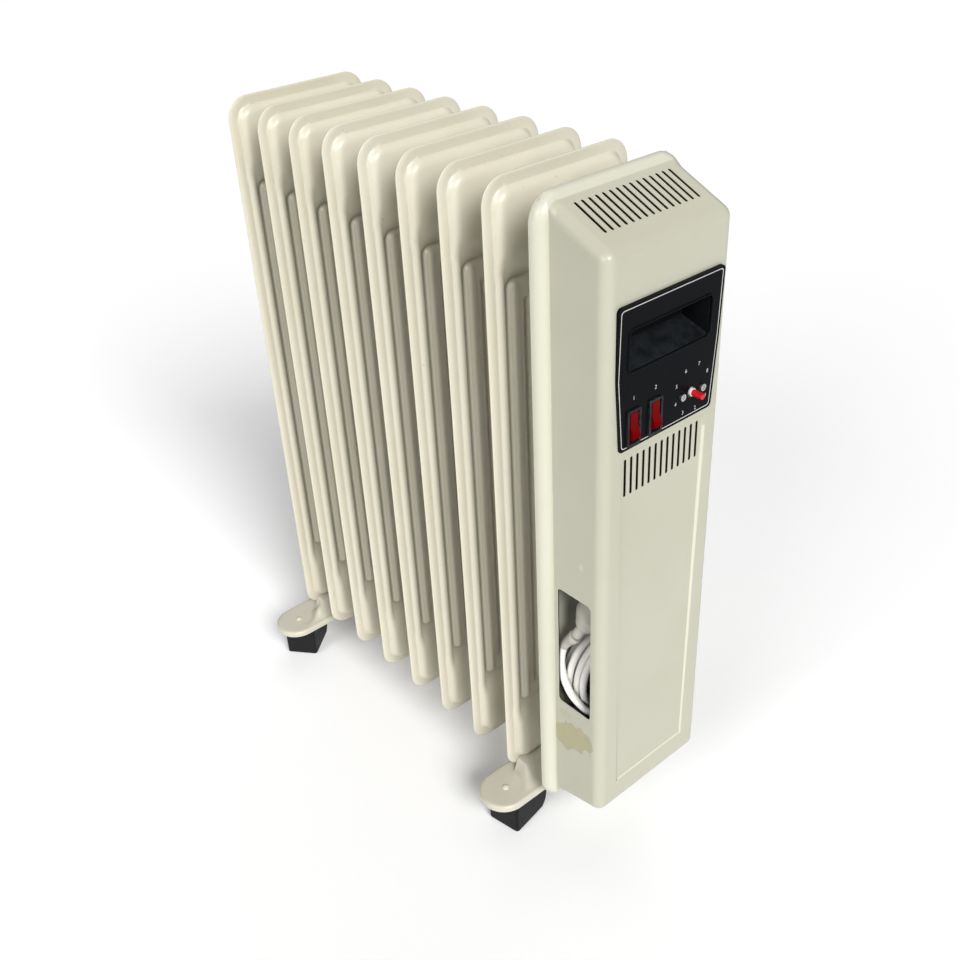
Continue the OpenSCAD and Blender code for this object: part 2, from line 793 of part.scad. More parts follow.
// The moulded pocket behind the finger recess, with a floor that slopes down to the front
module grip_pocket() {
  back_y = front_y + grip_deep;
  color(black) in_frame() difference() {
    translate([-grip_half - grip_wall, 0, 0]) rotate([90, 0, 90])
      linear_extrude(2 * (grip_half + grip_wall))
        polygon([[front_y, pocket_z0], [back_y + grip_wall, pocket_z0 + grip_rise],
                 [back_y + grip_wall, pocket_z1], [front_y, pocket_z1]]);
    translate([-grip_half, 0, 0]) rotate([90, 0, 90]) linear_extrude(2 * grip_half)
      polygon([[front_y - cut, grip_z0], [front_y, grip_z0], [back_y, grip_z0 + grip_rise],
               [back_y, grip_z1], [front_y - cut, grip_z1]]);
  }
}

// How far a rocker's flat back lies behind its pivot
rocker_back = 1;
// Distance from a rocker's pivot out to the frame's front
frame_out = rocker_rise * cos(rocker_slope) - rocker_proud;
pivot_y = plate_front_y - switch_lip + frame_out;

module switch_housing(x) {
  color(black) in_frame() translate([x, 0, switch_z]) difference() {
    union() {
      translate([0, plate_front_y - switch_lip / 2, 0]) upright(switch_lip)
        rounded_rect(-switch_w / 2, -switch_h / 2, switch_w / 2, switch_h / 2, switch_lip);
      translate([-body_w / 2, plate_front_y, -body_h / 2]) cube([body_w, switch_deep, body_h]);
      for (s = [-1, 0, 1])
        translate([-blade_t / 2, plate_front_y + switch_deep, s * contact_step - blade_w / 2])
          cube([blade_t, blade_l, blade_w]);
    }
    translate([-cavity_w / 2, plate_front_y - switch_lip - cut, -cavity_h / 2])
      cube([cavity_w, cut + frame_out + rocker_sweep * sin(2 * rocker_slope) + 2 * rocker_pin_r, cavity_h]);
    translate([-body_w / 2 - cut, pivot_y, 0]) rotate([0, 90, 0])
      cylinder(r = rocker_pin_r + run_fit, h = body_w + 2 * cut);
  }
}

// A rocker with its lower half standing out
module switch_rocker(x) {
  tip = rocker_rise + rocker_half * tan(rocker_slope);
  end = tip + 1.5 * sin(rocker_slope);
  color(red) in_frame() translate([x, pivot_y, switch_z]) rotate([-rocker_slope, 0, 0]) {
    intersection() {
      rotate([0, 90, 0]) cylinder(r = rocker_sweep, h = rocker_w, center = true);
      translate([-rocker_w / 2, 0, 0]) rotate([90, 0, 90]) linear_extrude(rocker_w)
        polygon([[rocker_back, -rocker_sweep - cut], [-end, -rocker_sweep - cut], [-tip, -rocker_half],
                 [-rocker_rise, 0], [-tip, rocker_half], [-end, rocker_sweep + cut],
                 [rocker_back, rocker_sweep + cut]]);
    }
    rotate([0, 90, 0]) cylinder(r = 2 * rocker_pin_r, h = rocker_w, center = true);
    rotate([0, 90, 0]) cylinder(r = rocker_pin_r, h = body_w - 2 * seat_fit, center = true);
  }
}

// Wall left behind the spindle in the thermostat's body
spindle_wall = 3;
spindle_end_y = front_y + thermostat_deep - spindle_wall - soft_gap;

module at_spindle() {
  in_frame() translate([spindle_x, 0, spindle_z]) children();
}

module thermostat_body() {
  color(steel) at_spindle() difference() {
    translate([-thermostat_size / 2, front_y, -thermostat_size / 2])
      cube([thermostat_size, thermostat_deep, thermostat_size]);
    bar_y(front_y - cut, spindle_end_y + soft_gap, spindle_d / 2 + run_fit);
    bar_y(front_y - cut, front_y + bush_in, bush_d / 2 + seat_fit);
    for (s = [-1, 1]) translate([s * screw_offset, 0, 0])
      bar_y(front_y - cut, front_y + screw_l + cut, screw_d / 2 + run_fit);
  }
}

module thermostat_bush() {
  color(steel) at_spindle() difference() {
    bar_y(plate_front_y - bush_out, front_y + bush_in, bush_d / 2);
    bar_y(plate_front_y - bush_out - cut, front_y + bush_in + cut, spindle_d / 2 + run_fit);
  }
}

// Cross in each screw's head
screw_cross_l = 0.7 * screw_head_d;
screw_cross_w = 0.7;
screw_cross_turn = 20;

module thermostat_screws() {
  color(steel) at_spindle() for (s = [-1, 1]) translate([s * screw_offset, 0, 0]) {
    bar_y(plate_front_y, front_y + screw_l, screw_d / 2);
    difference() {
      bar_y(plate_front_y - screw_head_h, plate_front_y, screw_head_d / 2);
      for (a = [screw_cross_turn, screw_cross_turn + 90]) rotate([0, a, 0])
        translate([-screw_cross_l / 2, plate_front_y - screw_head_h - cut, -screw_cross_w / 2])
          cube([screw_cross_l, screw_head_h / 2 + cut, screw_cross_w]);
    }
  }
}

module thermostat_spindle() {
  color(red) at_spindle() difference() {
    bar_y(front_y - spindle_out, spindle_end_y, spindle_d / 2);
    translate([-spindle_d, front_y - spindle_out - cut, spindle_d / 2 - spindle_flat])
      cube([2 * spindle_d, flat_l + cut, spindle_d]);
  }
}

// Cord bay

// Lengths of the gland's parts below the shelf
gland_sleeve = 5;
gland_flange = 3;

// The coil leans, so that its loops run from the back left of the bay to its front
coil_turn = -17;
coil_layers = 4;
coil_rings = 24;
full_turn = 360;
coil_along = [cos(coil_turn), sin(coil_turn), 0];
coil_across = [-sin(coil_turn), cos(coil_turn), 0];
cord_r = cord_d / 2;
coil_half_x = coil_r * cos(coil_turn) - (coil_layers - 1) / 2 * coil_step * sin(coil_turn) + cord_r;
coil_side_gap = 1.5;
coil_middle = [coil_half_x + coil_side_gap + wall - side_half,
               (rim_y - bracket_t + front_y + panel_deep + wall) / 2, coil_z];
floor_z = coil_z - coil_r * coil_stretch - cord_r - soft_gap;
gland_at = [gland_x, front_y + gland_back, shelf_z];

// The plug stands in the coil's upper left, and leans inwards and forwards
plug_way = unit([0.45, -0.35, 0.82]);
plug_inset = 5.5;
plug_behind = 4;
plug_rise = 62;
plug_at = coil_middle + [-coil_half_x + plug_inset, plug_behind, plug_rise];

// Each layer of the coil winds in or out by its share of the loops, and the cord
// climbs to the next layer in the half turn where the winding reverses
layer_turn = coil_turns * full_turn / coil_layers;
layer_depth = coil_step * coil_turns / coil_layers;
function coil_radius(a) =
  let (place = a / layer_turn, layer = floor(place))
  coil_r - layer_depth * (layer % 2 == 0 ? place - layer : 1 - place + layer);
function coil_climb(a) = max(0, min(1, (a + 90) / 180));
function coil_layer(a) =
  coil_step * ((coil_layers - 1) / 2 - coil_climb(a - layer_turn) - coil_climb(a - 2 * layer_turn)
    - coil_climb(a - 3 * layer_turn));
function coil_radial(a) = coil_along * cos(a) - [0, 0, coil_stretch] * sin(a);
function coil_outward(a) = unit(coil_along * cos(a) * coil_stretch - [0, 0, 1] * sin(a));
function coil_point(a) = coil_middle + coil_radial(a) * coil_radius(a) + coil_across * coil_layer(a);
function coil_heading(a) = unit(-coil_along * sin(a) - [0, 0, coil_stretch] * cos(a));

// Points on a smooth curve with two guide points
function curve_point(p, t) =
  p[0] * pow(1 - t, 3) + p[1] * 3 * t * pow(1 - t, 2) + p[2] * 3 * t * t * (1 - t) + p[3] * pow(t, 3);
function curve(p, steps) = [for (i = [0 : steps]) curve_point(p, i / steps)];

// Two directions across a run that starts one way and bends gently, squared to each heading
function across_ring(way, side) = unit(side - way * (side * way));
function heading(points, i) =
  unit(points[min(i + 1, len(points) - 1)] - points[max(i - 1, 0)]);

// A tube through rings, each with its middle and its two directions
module ring_tube(rings, r, sides) {
  n = len(rings);
  polyhedron(
    [for (g = rings) for (k = [0 : sides - 1])
      g[0] + (g[1] * cos(full_turn * k / sides) + g[2] * sin(full_turn * k / sides)) * r],
    concat(
      [[for (k = [0 : sides - 1]) k]],
      [[for (k = [sides - 1 : -1 : 0]) (n - 1) * sides + k]],
      [for (i = [0 : n - 2]) for (k = [0 : sides - 1]) let (
        a = i * sides + k, b = i * sides + (k + 1) % sides)
        for (f = [[a, a + sides, b], [b, a + sides, b + sides]]) f]
    )
  );
}

// A plain run of cord along points, with a start and an end heading
module cord_run(points, first, last) {
  n = len(points);
  ring_tube(
    [for (i = [0 : n - 1]) let (
      way = i == 0 ? first : i == n - 1 ? last : heading(points, i),
      side = across_ring(way, [1, 0, 0]))
      [points[i], side, cross(way, side)]],
    cord_r, 8
  );
}

coil_end = coil_turns * full_turn;
coil_start_at = coil_point(0) - coil_heading(0) * cord_d;
coil_end_at = coil_point(coil_end) + coil_heading(coil_end) * cord_d;
coil_path = concat(
  [coil_start_at],
  [for (i = [0 : coil_turns * coil_rings]) coil_point(i * full_turn / coil_rings)],
  [coil_end_at]
);
coil_gap = min([for (i = [0 : len(coil_path) - 1]) for (j = [i + coil_rings / 2 : 1 : len(coil_path) - 1])
  norm(coil_path[i] - coil_path[j])]) - cord_d;
echo(str("Least gap between the cord's loops: ", coil_gap, " mm"));

gland_exit = gland_at - [0, 0, gland_sleeve + gland_flange];
lead_path = curve([gland_exit, gland_exit - [0, 0, 45], coil_start_at + [0, 0, 50], coil_start_at], 20);
tail_path = curve([coil_end_at, coil_end_at + [0, 0, 20], plug_at - plug_way * 20, plug_at], 12);

function path_length(p, i = 1) = i < len(p) ? norm(p[i] - p[i - 1]) + path_length(p, i + 1) : 0;
echo(str("Length of cord: ",
  path_length(coil_path) + path_length(lead_path) + path_length(tail_path), " mm"));

module cord_coil() {
  n = len(coil_path);
  color(white) in_frame() ring_tube(
    [for (i = [0 : n - 1]) let (a = min(max(i - 1, 0), n - 3) * full_turn / coil_rings)
      [coil_path[i], coil_across, coil_outward(a)]],
    cord_r, 6
  );
}

module cord_lead() {
  color(white) in_frame() cord_run(lead_path, [0, 0, -1], [0, 0, -1]);
}

module cord_tail() {
  color(white) in_frame() cord_run(tail_path, [0, 0, 1], plug_way);
}

// Stands a shape on the plug's end of the cord, along the plug
module at_plug() {
  tilt = acos(plug_way[2]);
  spin = atan2(plug_way[1], plug_way[0]);
  in_frame() translate(plug_at) rotate([0, 0, spin]) rotate([0, tilt, 0]) children();
}

// The plug's relief sleeve, shoulder and round body
module power_plug() {
  r = plug_d / 2;
  relief_r = cord_r + 2;
  relief_l = 10;
  shoulder = 21;
  color(white) at_plug() rotate_extrude()
    polygon([[0, 0], [relief_r - 0.6, 0], [relief_r, relief_l], [r / 2, relief_l + 1],
             [r - 2, shoulder], [r, shoulder + 3], [r, plug_l - 1], [r - 1, plug_l], [0, plug_l]]);
}

module plug_pins() {
  tip = 1.5;
  color(steel) at_plug() for (s = [-1, 1]) translate([0, s * pin_pitch / 2, plug_l]) {
    cylinder(d = pin_d, h = pin_l - tip);
    translate([0, 0, pin_l - tip]) cylinder(d1 = pin_d, d2 = pin_d - 2, h = tip);
  }
}

// How far the bay's bracket stops short of the casing's right side
bracket_short = 12;
// Two punched holes in the bay's bracket, and their heights above its floor
bracket_hole_r = 3;
bracket_hole_x = -19;
bracket_hole_rises = [5, 17];
gland_neck_r = 6;

// A folded sheet behind, under and over the stowed cord
module bay_bracket() {
  y0 = front_y + panel_deep + wall + soft_gap;
  x0 = -side_half + wall + soft_gap;
  x1 = side_half - bracket_short;
  color(casing_cream) in_frame() difference() {
    union() {
      translate([x0, y0, floor_z - bracket_t]) cube([x1 - x0, rim_y - y0, bracket_t]);
      translate([x0, y0, shelf_z]) cube([x1 - x0, rim_y - y0, bracket_t]);
      translate([x0, rim_y - bracket_t, floor_z - bracket_t])
        cube([x1 - x0, bracket_t, shelf_z - floor_z + 2 * bracket_t]);
    }
    translate(gland_at - [0, 0, cut]) cylinder(r = gland_neck_r + seat_fit, h = bracket_t + 2 * cut);
    for (rise = bracket_hole_rises) translate([bracket_hole_x, 0, floor_z + rise])
      bar_y(rim_y - bracket_t - cut, rim_y + cut, bracket_hole_r);
  }
}

module cord_gland() {
  color(black) in_frame() translate(gland_at) {
    translate([0, 0, -gland_flange]) cylinder(r = gland_neck_r + 2.5, h = gland_flange);
    translate([0, 0, -gland_flange - gland_sleeve]) cylinder(r = cord_r + 2, h = gland_sleeve);
    cylinder(r = gland_neck_r, h = bracket_t);
    translate([0, 0, bracket_t]) cylinder(r = gland_neck_r + 2, h = gland_flange);
  }
}

// Feet

clamp_r = hub_d / 2 + seat_fit + clamp_d / 2;

// Section across a foot, from its middle line out, for a top at z = 0
module foot_section() {
  half = foot_w / 2;
  difference() {
    union() {
      translate([0, -foot_t]) square([half - foot_edge_r, foot_t]);
      translate([half - foot_t, -skirt_h]) square([foot_t, skirt_h - foot_edge_r]);
      translate([half - foot_edge_r, -foot_edge_r]) quarter_round(foot_edge_r);
    }
    translate([half - foot_edge_r, -foot_edge_r]) circle(r = foot_edge_r - foot_t);
  }
}

// The level channel with its round ends
module foot_channel(reach) {
  end_x = reach - foot_w / 2;
  for (m = [0, 1]) mirror([0, m, 0]) translate([-end_x, 0, foot_end_z]) rotate([90, 0, 90])
    linear_extrude(2 * end_x) foot_section();
  for (m = [0, 1]) mirror([m, 0, 0]) translate([end_x, 0, foot_end_z]) rotate([0, 0, -90])
    rotate_extrude(angle = 180) foot_section();
}

saddle_z = flange_w - soft_gap;
saddle_low_x = fin_half + saddle_out;
saddle_top_x = fin_half - saddle_in;
saddle_y = foot_w / 2 - foot_edge_r;

// The raised block in front of a fin at y = fin_y, drawn in by t on every side and down to z = low
module saddle_block(fin_y, t, low) {
  y1 = fin_y - flange_t / 2 - saddle_gap;
  outlines = [
    [saddle_low_x - t, -saddle_y + t, low],
    [saddle_low_x - t, -saddle_y + t, foot_end_z],
    [saddle_top_x - t, y1 - saddle_flat, saddle_z - t]
  ];
  polyhedron(
    points = [for (o = outlines) each
      [[-o[0], o[1], o[2]], [o[0], o[1], o[2]], [o[0], y1 - t, o[2]], [-o[0], y1 - t, o[2]]]],
    faces = [
      [0, 1, 2, 3], [11, 10, 9, 8],
      [0, 4, 5, 1], [1, 5, 6, 2], [2, 6, 7, 3], [3, 7, 4, 0],
      [4, 8, 9, 5], [5, 9, 10, 6], [6, 10, 11, 7], [7, 11, 8, 4]
    ]);
}

// Half the length of the level strip that the clamp's nuts press on
strip_half = clamp_r + nut_d / 2 + 3;

module foot(y, reach, fin_y) {
  color(cream) in_frame() translate([0, y, 0]) difference() {
    union() {
      difference() {
        union() {
          foot_channel(reach);
          saddle_block(fin_y, 0, foot_end_z - foot_t / 2);
        }
        saddle_block(fin_y, foot_t, foot_under_z - cut);
      }
      translate([-strip_half, -saddle_y, foot_under_z])
        cube([2 * strip_half, saddle_y + fin_y - flange_t / 2 - saddle_gap, foot_t]);
    }
    for (s = [-1, 1]) {
      translate([s * (reach - swivel_inset), 0, foot_under_z - cut])
        cylinder(r = stem_d / 2 + seat_fit, h = foot_t + 2 * cut);
      translate([s * clamp_r, -clamp_offset, foot_under_z - cut])
        cylinder(r = clamp_d / 2 + seat_fit, h = saddle_z - foot_under_z + 2 * cut);
    }
  }
}

foot_ys = [front_foot_y, rear_foot_y];
reaches = [foot_reach, rear_foot_reach];
clamp_end_z = foot_end_z - skirt_h;

// A bolt bent over the bottom header's pipe, with both ends through the foot
module clamp(y) {
  color(steel) in_frame() translate([0, y - clamp_offset, header_z]) {
    rotate([90, 0, 0]) rotate_extrude(angle = 180) translate([clamp_r, 0]) circle(d = clamp_d);
    for (s = [-1, 1]) translate([s * clamp_r, 0, clamp_end_z - header_z])
      cylinder(d = clamp_d, h = header_z - clamp_end_z);
  }
}

module clamp_nuts() {
  color(steel) in_frame() for (y = foot_ys, s = [-1, 1])
    translate([s * clamp_r, y - clamp_offset, foot_under_z - nut_h]) difference() {
      cylinder(d = nut_d, h = nut_h, $fn = 6);
      translate([0, 0, -cut]) cylinder(r = clamp_d / 2 + run_fit, h = nut_h + 2 * cut);
    }
}

// Casters

hood_top_z = axle_z + hood_r;
stem_end_z = hood_top_z - stem_seat;
rivet_round = (rivet_d * rivet_d / 4 + rivet_h * rivet_h) / (2 * rivet_h);
stem_r = stem_d / 2;

module caster_stems() {
  color(steel) in_frame() for (i = [0, 1], s = [-1, 1])
    translate([s * (reaches[i] - swivel_inset), foot_ys[i], 0]) {
      translate([0, 0, stem_end_z]) cylinder(r = stem_r, h = foot_end_z - stem_end_z);
      translate([0, 0, foot_end_z]) intersection() {
        cylinder(d = rivet_d, h = rivet_h);
        translate([0, 0, rivet_h - rivet_round]) sphere(r = rivet_round);
      }
    }
}

hood_low_z = hood_clear - ground_gap;

// Moves a caster's piece to its swivel and turns it in its trailing direction
module at_caster(side, end, angle) {
  in_frame() translate([side * (reaches[end] - swivel_inset), foot_ys[end], 0])
    rotate([0, 0, angle]) children();
}

// Side view of the hood, in the direction of trail and in z
module hood_outline() {
  intersection() {
    union() {
      translate([trail, axle_z]) circle(r = hood_r);
      round_outline(
        [[-hood_back, hood_low_z], [trail, hood_low_z], [trail, hood_top_z], [-hood_back, hood_top_z]],
        [0, 0, 0, hood_back]);
    }
    translate([-hood_back, hood_low_z]) square([hood_back + trail + hood_r, 2 * hood_r]);
  }
}

module caster_hood(side, end, angle) {
  half = caster_w / 2;
  color(black) at_caster(side, end, angle) difference() {
    union() {
      intersection() {
        upright(caster_w) hood_outline();
        translate([0, 0, -ground_gap]) linear_extrude(ground_gap) round_outline(
          [[-hood_back, -half], [trail + hood_r, -half], [trail + hood_r, half], [-hood_back, half]],
          [hood_corner, 0, 0, hood_corner]);
      }
      translate([0, 0, hood_top_z - cut])
        cylinder(d = boss_d, h = foot_under_z - soft_gap - seat_fit - hood_top_z + cut);
    }
    translate([trail, 0, axle_z]) {
      upright(caster_w - 2 * hood_side) circle(r = wheel_r + hood_gap);
      bar_y(-caster_w, caster_w, axle_d / 2 + run_fit);
    }
    translate([0, 0, stem_end_z - soft_gap]) cylinder(r = stem_r + run_fit, h = ground_gap);
  }
}

// Gap at each side of a wheel, the radius of its edges, and the groove round its middle
wheel_side_gap = 0.6;
wheel_edge_r = 2;
groove_w = 2.4;
groove_deep = 2;

module caster_wheel(side, end, angle) {
  half = caster_w / 2 - hood_side - wheel_side_gap;
  r = wheel_edge_r;
  color(black) at_caster(side, end, angle) translate([trail, 0, axle_z])
    for (m = [0, 1]) mirror([0, m, 0]) rotate([-90, 0, 0]) rotate_extrude() difference() {
      union() {
        square([wheel_r, half - r]);
        square([wheel_r - r, half]);
        translate([wheel_r - r, half - r]) circle(r = r);
      }
      translate([-cut, -cut]) square([axle_d / 2 + cut, half + 2 * cut]);
      translate([wheel_r - groove_deep, -cut]) square([groove_deep + cut, groove_w / 2 + cut]);
    }
}

module caster_axle(side, end, angle) {
  color(steel) at_caster(side, end, angle) translate([trail, 0, axle_z])
    bar_y(-caster_w / 2 + wheel_side_gap, caster_w / 2 - wheel_side_gap, axle_d / 2);
}

// The part

fin(1);  // fin_1
fin(2);  // fin_2
fin(3);  // fin_3
fin(4);  // fin_4
fin(5);  // fin_5
fin(6);  // fin_6
fin(7);  // fin_7
fin(8);  // fin_8
oil_pipes(header_tops[1]);  // oil_pipes_top
oil_pipes(header_tops[0]);  // oil_pipes_bottom
header_caps();
casing_post();
heater_boss();
heater_tubes();
heater_flange();
heater_terminals();
casing_shell();
casing_back();
control_plate();
grip_pocket();
switch_housing(switch_1_x);  // switch_1_housing
switch_housing(switch_2_x);  // switch_2_housing
switch_rocker(switch_1_x);  // switch_1_rocker
switch_rocker(switch_2_x);  // switch_2_rocker
thermostat_body();
thermostat_bush();
thermostat_screws();
thermostat_spindle();
bay_bracket();
cord_gland();
cord_lead();
cord_coil();
cord_tail();
power_plug();
plug_pins();
foot(front_foot_y, foot_reach, -front_foot_y);  // front_foot
foot(rear_foot_y, rear_foot_reach, rear_foot_back);  // rear_foot
clamp(front_foot_y);  // front_clamp
clamp(rear_foot_y);  // rear_clamp
clamp_nuts();
caster_stems();
caster_hood(-1, 0, angle_front_left);  // hood_front_left
caster_hood(1, 0, angle_front_right);  // hood_front_right
caster_hood(-1, 1, angle_rear_left);  // hood_rear_left
caster_hood(1, 1, angle_rear_right);  // hood_rear_right
caster_wheel(-1, 0, angle_front_left);  // wheel_front_left
caster_wheel(1, 0, angle_front_right);  // wheel_front_right
caster_wheel(-1, 1, angle_rear_left);  // wheel_rear_left
caster_wheel(1, 1, angle_rear_right);  // wheel_rear_right
caster_axle(-1, 0, angle_front_left);  // axle_front_left
caster_axle(1, 0, angle_front_right);  // axle_front_right
caster_axle(-1, 1, angle_rear_left);  // axle_rear_left
caster_axle(1, 1, angle_rear_right);  // axle_rear_right
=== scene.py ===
import math
import bmesh
import bpy
import numpy as np
from mathutils import Matrix, Vector


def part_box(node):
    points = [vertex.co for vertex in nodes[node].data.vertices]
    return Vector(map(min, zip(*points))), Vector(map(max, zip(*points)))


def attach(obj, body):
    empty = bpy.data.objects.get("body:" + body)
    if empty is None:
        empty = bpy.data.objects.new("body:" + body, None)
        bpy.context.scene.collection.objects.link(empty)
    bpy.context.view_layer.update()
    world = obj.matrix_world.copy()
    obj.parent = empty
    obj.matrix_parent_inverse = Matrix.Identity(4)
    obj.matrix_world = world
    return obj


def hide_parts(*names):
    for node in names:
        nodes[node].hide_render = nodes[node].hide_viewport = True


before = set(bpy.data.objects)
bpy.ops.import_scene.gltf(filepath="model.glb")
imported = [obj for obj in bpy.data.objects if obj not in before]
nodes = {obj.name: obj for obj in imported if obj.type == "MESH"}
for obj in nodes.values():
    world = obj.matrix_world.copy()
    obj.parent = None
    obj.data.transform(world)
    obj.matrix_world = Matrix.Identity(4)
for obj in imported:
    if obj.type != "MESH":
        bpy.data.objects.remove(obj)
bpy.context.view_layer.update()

# Oil-filled radiator: pressed fins, slim control casing, cord bay, feet and casters
# Metres, floor at z = 0, control panel towards -Y

corners = ("front_left", "front_right", "rear_left", "rear_right")


def middleOf(node):
    low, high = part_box(node)
    return [(a + b) / 2 for a, b in zip(low, high)]


frontFinY = middleOf("fin_8")[1]  # places along Y count from here


def withSettings(item, **settings):
    for name, value in settings.items():
        setattr(item, name, value)
    return item


def newObject(name, data):
    made = bpy.data.objects.new(name, data)
    bpy.context.collection.objects.link(made)
    return made


# Camera

photoCamera = {
    "place": (-0.56744, frontFinY - 0.58649, 0.88647),
    "yaw": -39.154, "pitch": 32.742, "roll": 3.225,  # degrees
    "lens": 41.94, "sensor": 36,
}


def setCamera(s):
    yaw, pitch, roll = (math.radians(s[k]) for k in ("yaw", "pitch", "roll"))
    flat = math.cos(pitch)
    ahead = Vector((-math.sin(yaw) * flat, math.cos(yaw) * flat, -math.sin(pitch)))
    level = Vector((math.cos(yaw), math.sin(yaw), 0))
    drop = ahead.cross(level)
    right = level * math.cos(roll) + drop * math.sin(roll)
    down = drop * math.cos(roll) - level * math.sin(roll)
    data = bpy.data.cameras.new("photoCamera")
    camera = newObject("photoCamera", withSettings(data, lens=s["lens"], sensor_width=s["sensor"]))
    turned = Matrix((right, -down, -ahead)).transposed().to_4x4()
    camera.matrix_world = Matrix.Translation(s["place"]) @ turned
    bpy.context.scene.camera = camera


setCamera(photoCamera)
print("camera set")


# Helpers for meshes

meshRules = {
    "merge": 1e-6, "flatAngle": 0.3,
    "sharpAngle": 32, "edgeSegments": 2, "edgeAngle": 38,
}
tiny = 1e-8


def opened(mesh):
    shape = bmesh.new()
    shape.from_mesh(mesh)
    return shape


def closed(shape, mesh):
    shape.to_mesh(mesh)
    shape.free()


def smoothByAngle(mesh, degrees=meshRules["sharpAngle"]):
    mesh.shade_smooth()
    mesh.set_sharp_from_angle(angle=math.radians(degrees))


def shownMesh(made):
    # a mesh as the object's curve or modifiers make it
    scene = bpy.context.evaluated_depsgraph_get()
    return bpy.data.meshes.new_from_object(made.evaluated_get(scene), depsgraph=scene)


def applyModifiers(made):
    plain = shownMesh(made)
    made.modifiers.clear()
    made.data = plain


def asMesh(made):
    # swaps a curve or text object for its surface
    mesh, name = shownMesh(made), made.name
    bpy.data.objects.remove(made)
    mesh.name = name
    return newObject(name, mesh)


def mergedCopy(node, name):
    # a CAD node's mesh, with its triangles joined into flat faces
    data = nodes[node].data.copy()
    shape = opened(data)
    bmesh.ops.remove_doubles(shape, verts=shape.verts, dist=meshRules["merge"])
    bmesh.ops.dissolve_limit(shape, angle_limit=math.radians(meshRules["flatAngle"]),
                             verts=shape.verts, edges=shape.edges)
    closed(shape, data)
    data.name = name
    return newObject(name, data)


def softenEdges(made, width, limit="ANGLE"):
    # rounds sharp edges, and keeps flat faces flat beside them
    if width:
        withSettings(made.modifiers.new("edges", "BEVEL"), width=width, limit_method=limit,
                     segments=meshRules["edgeSegments"], use_clamp_overlap=True,
                     angle_limit=math.radians(meshRules["edgeAngle"]))
        applyModifiers(made)
    smoothByAngle(made.data)
    made.modifiers.new("flatFaces", "WEIGHTED_NORMAL").keep_sharp = True
    applyModifiers(made)


def rimOf(wide, tall):
    # the places round a grid's edge, in order
    ring = list(range(wide)) + [r * wide + wide - 1 for r in range(1, tall)]
    ring += [(tall - 1) * wide + c for c in range(wide - 2, -1, -1)]
    return ring + [r * wide for r in range(tall - 2, 0, -1)]


def gridFaces(wide, tall, start=0, turned=False):
    faces = []
    for r in range(tall - 1):
        for c in range(wide - 1):
            a = start + r * wide + c
            face = (a, a + 1, a + wide + 1, a + wide)
            faces.append((a, *face[:0:-1]) if turned else face)
    return faces


def bandFaces(a, b):
    # faces between two closed rows of points
    return list(zip(a, a[1:] + a[:1], b[1:] + b[:1], b))


# Cord

cordRoute = {
    "thick": 0.0068,
    "gland": (0.020, frontFinY - 0.0803, 0.338),  # where it leaves the gland
    "glandDrop": 0.045, "coilDrop": 0.050, "leadPoints": 40,  # the lead to the coil
    "middle": (-0.01228, frontFinY - 0.08015, 0.202),  # of the coil
    "halfWidth": 0.046, "stretch": 1.2, "turn": -17,
    "layers": 4, "loops": 5, "perLayer": 495, "step": 0.0076, "climbOver": 180,
    "plug": (-0.0575, frontFinY - 0.07615, 0.264),
    "plugWay": (0.45, -0.35, 0.82), "plugRun": 0.02,
    # from the coil, round the bay's front and up behind its window to the plug
    "tailEase": 25, "tailPoints": 5,
    "tail": ((0.021, -0.104, 0.180), (0.005, -0.1045, 0.1655), (-0.014, -0.1045, 0.164),
             (-0.030, -0.1043, 0.1675), (-0.0445, -0.1003, 0.1745), (-0.0555, -0.0893, 0.184),
             (-0.0597, -0.0755, 0.1945), (-0.060, -0.0665, 0.205), (-0.060, -0.062, 0.2165),
             (-0.060, -0.0608, 0.230), (-0.0596, -0.064, 0.246), (-0.0584, -0.0705, 0.257)),
    "sleeve": {"length": 0.026, "radii": (0.0056, 0.0037)},
    "boot": {"length": 0.022, "radii": (0.0062, 0.0038)},
    "pointsPerLoop": 48,
}


def bezierPoint(p, t):
    u = 1 - t
    return p[0] * u ** 3 + p[1] * 3 * t * u ** 2 + p[2] * 3 * t * t * u + p[3] * t ** 3


def splinePoint(p, t):
    # a smooth line through p[1] and p[2]
    return 0.5 * (2 * p[1] + (p[2] - p[0]) * t + (2 * p[0] - 5 * p[1] + 4 * p[2] - p[3]) * t ** 2
                  + (3 * p[1] - p[0] - 3 * p[2] + p[3]) * t ** 3)


def coilAlong(s):
    return Vector((math.cos(math.radians(s["turn"])), math.sin(math.radians(s["turn"])), 0))


def coilPoint(s, a):
    # the coil's middle line at a degrees, as the CAD winds it
    depth = s["step"] * s["perLayer"] / 360
    place = a / s["perLayer"]
    layer = math.floor(place)
    inwards = place - layer if layer % 2 == 0 else 1 - place + layer
    radius = s["halfWidth"] - depth * inwards
    over = s["climbOver"]
    climb = sum(max(0, min(1, (a - k * s["perLayer"] + over / 2) / over)) for k in range(1, s["layers"]))
    along = coilAlong(s)
    across = Vector((-along.y, along.x, 0))
    rim = along * math.cos(math.radians(a)) - Vector((0, 0, s["stretch"])) * math.sin(math.radians(a))
    return Vector(s["middle"]) + rim * radius + across * s["step"] * ((s["layers"] - 1) / 2 - climb)


def coilHeading(s, a):
    a = math.radians(a)
    return (-coilAlong(s) * math.sin(a) - Vector((0, 0, s["stretch"])) * math.cos(a)).normalized()


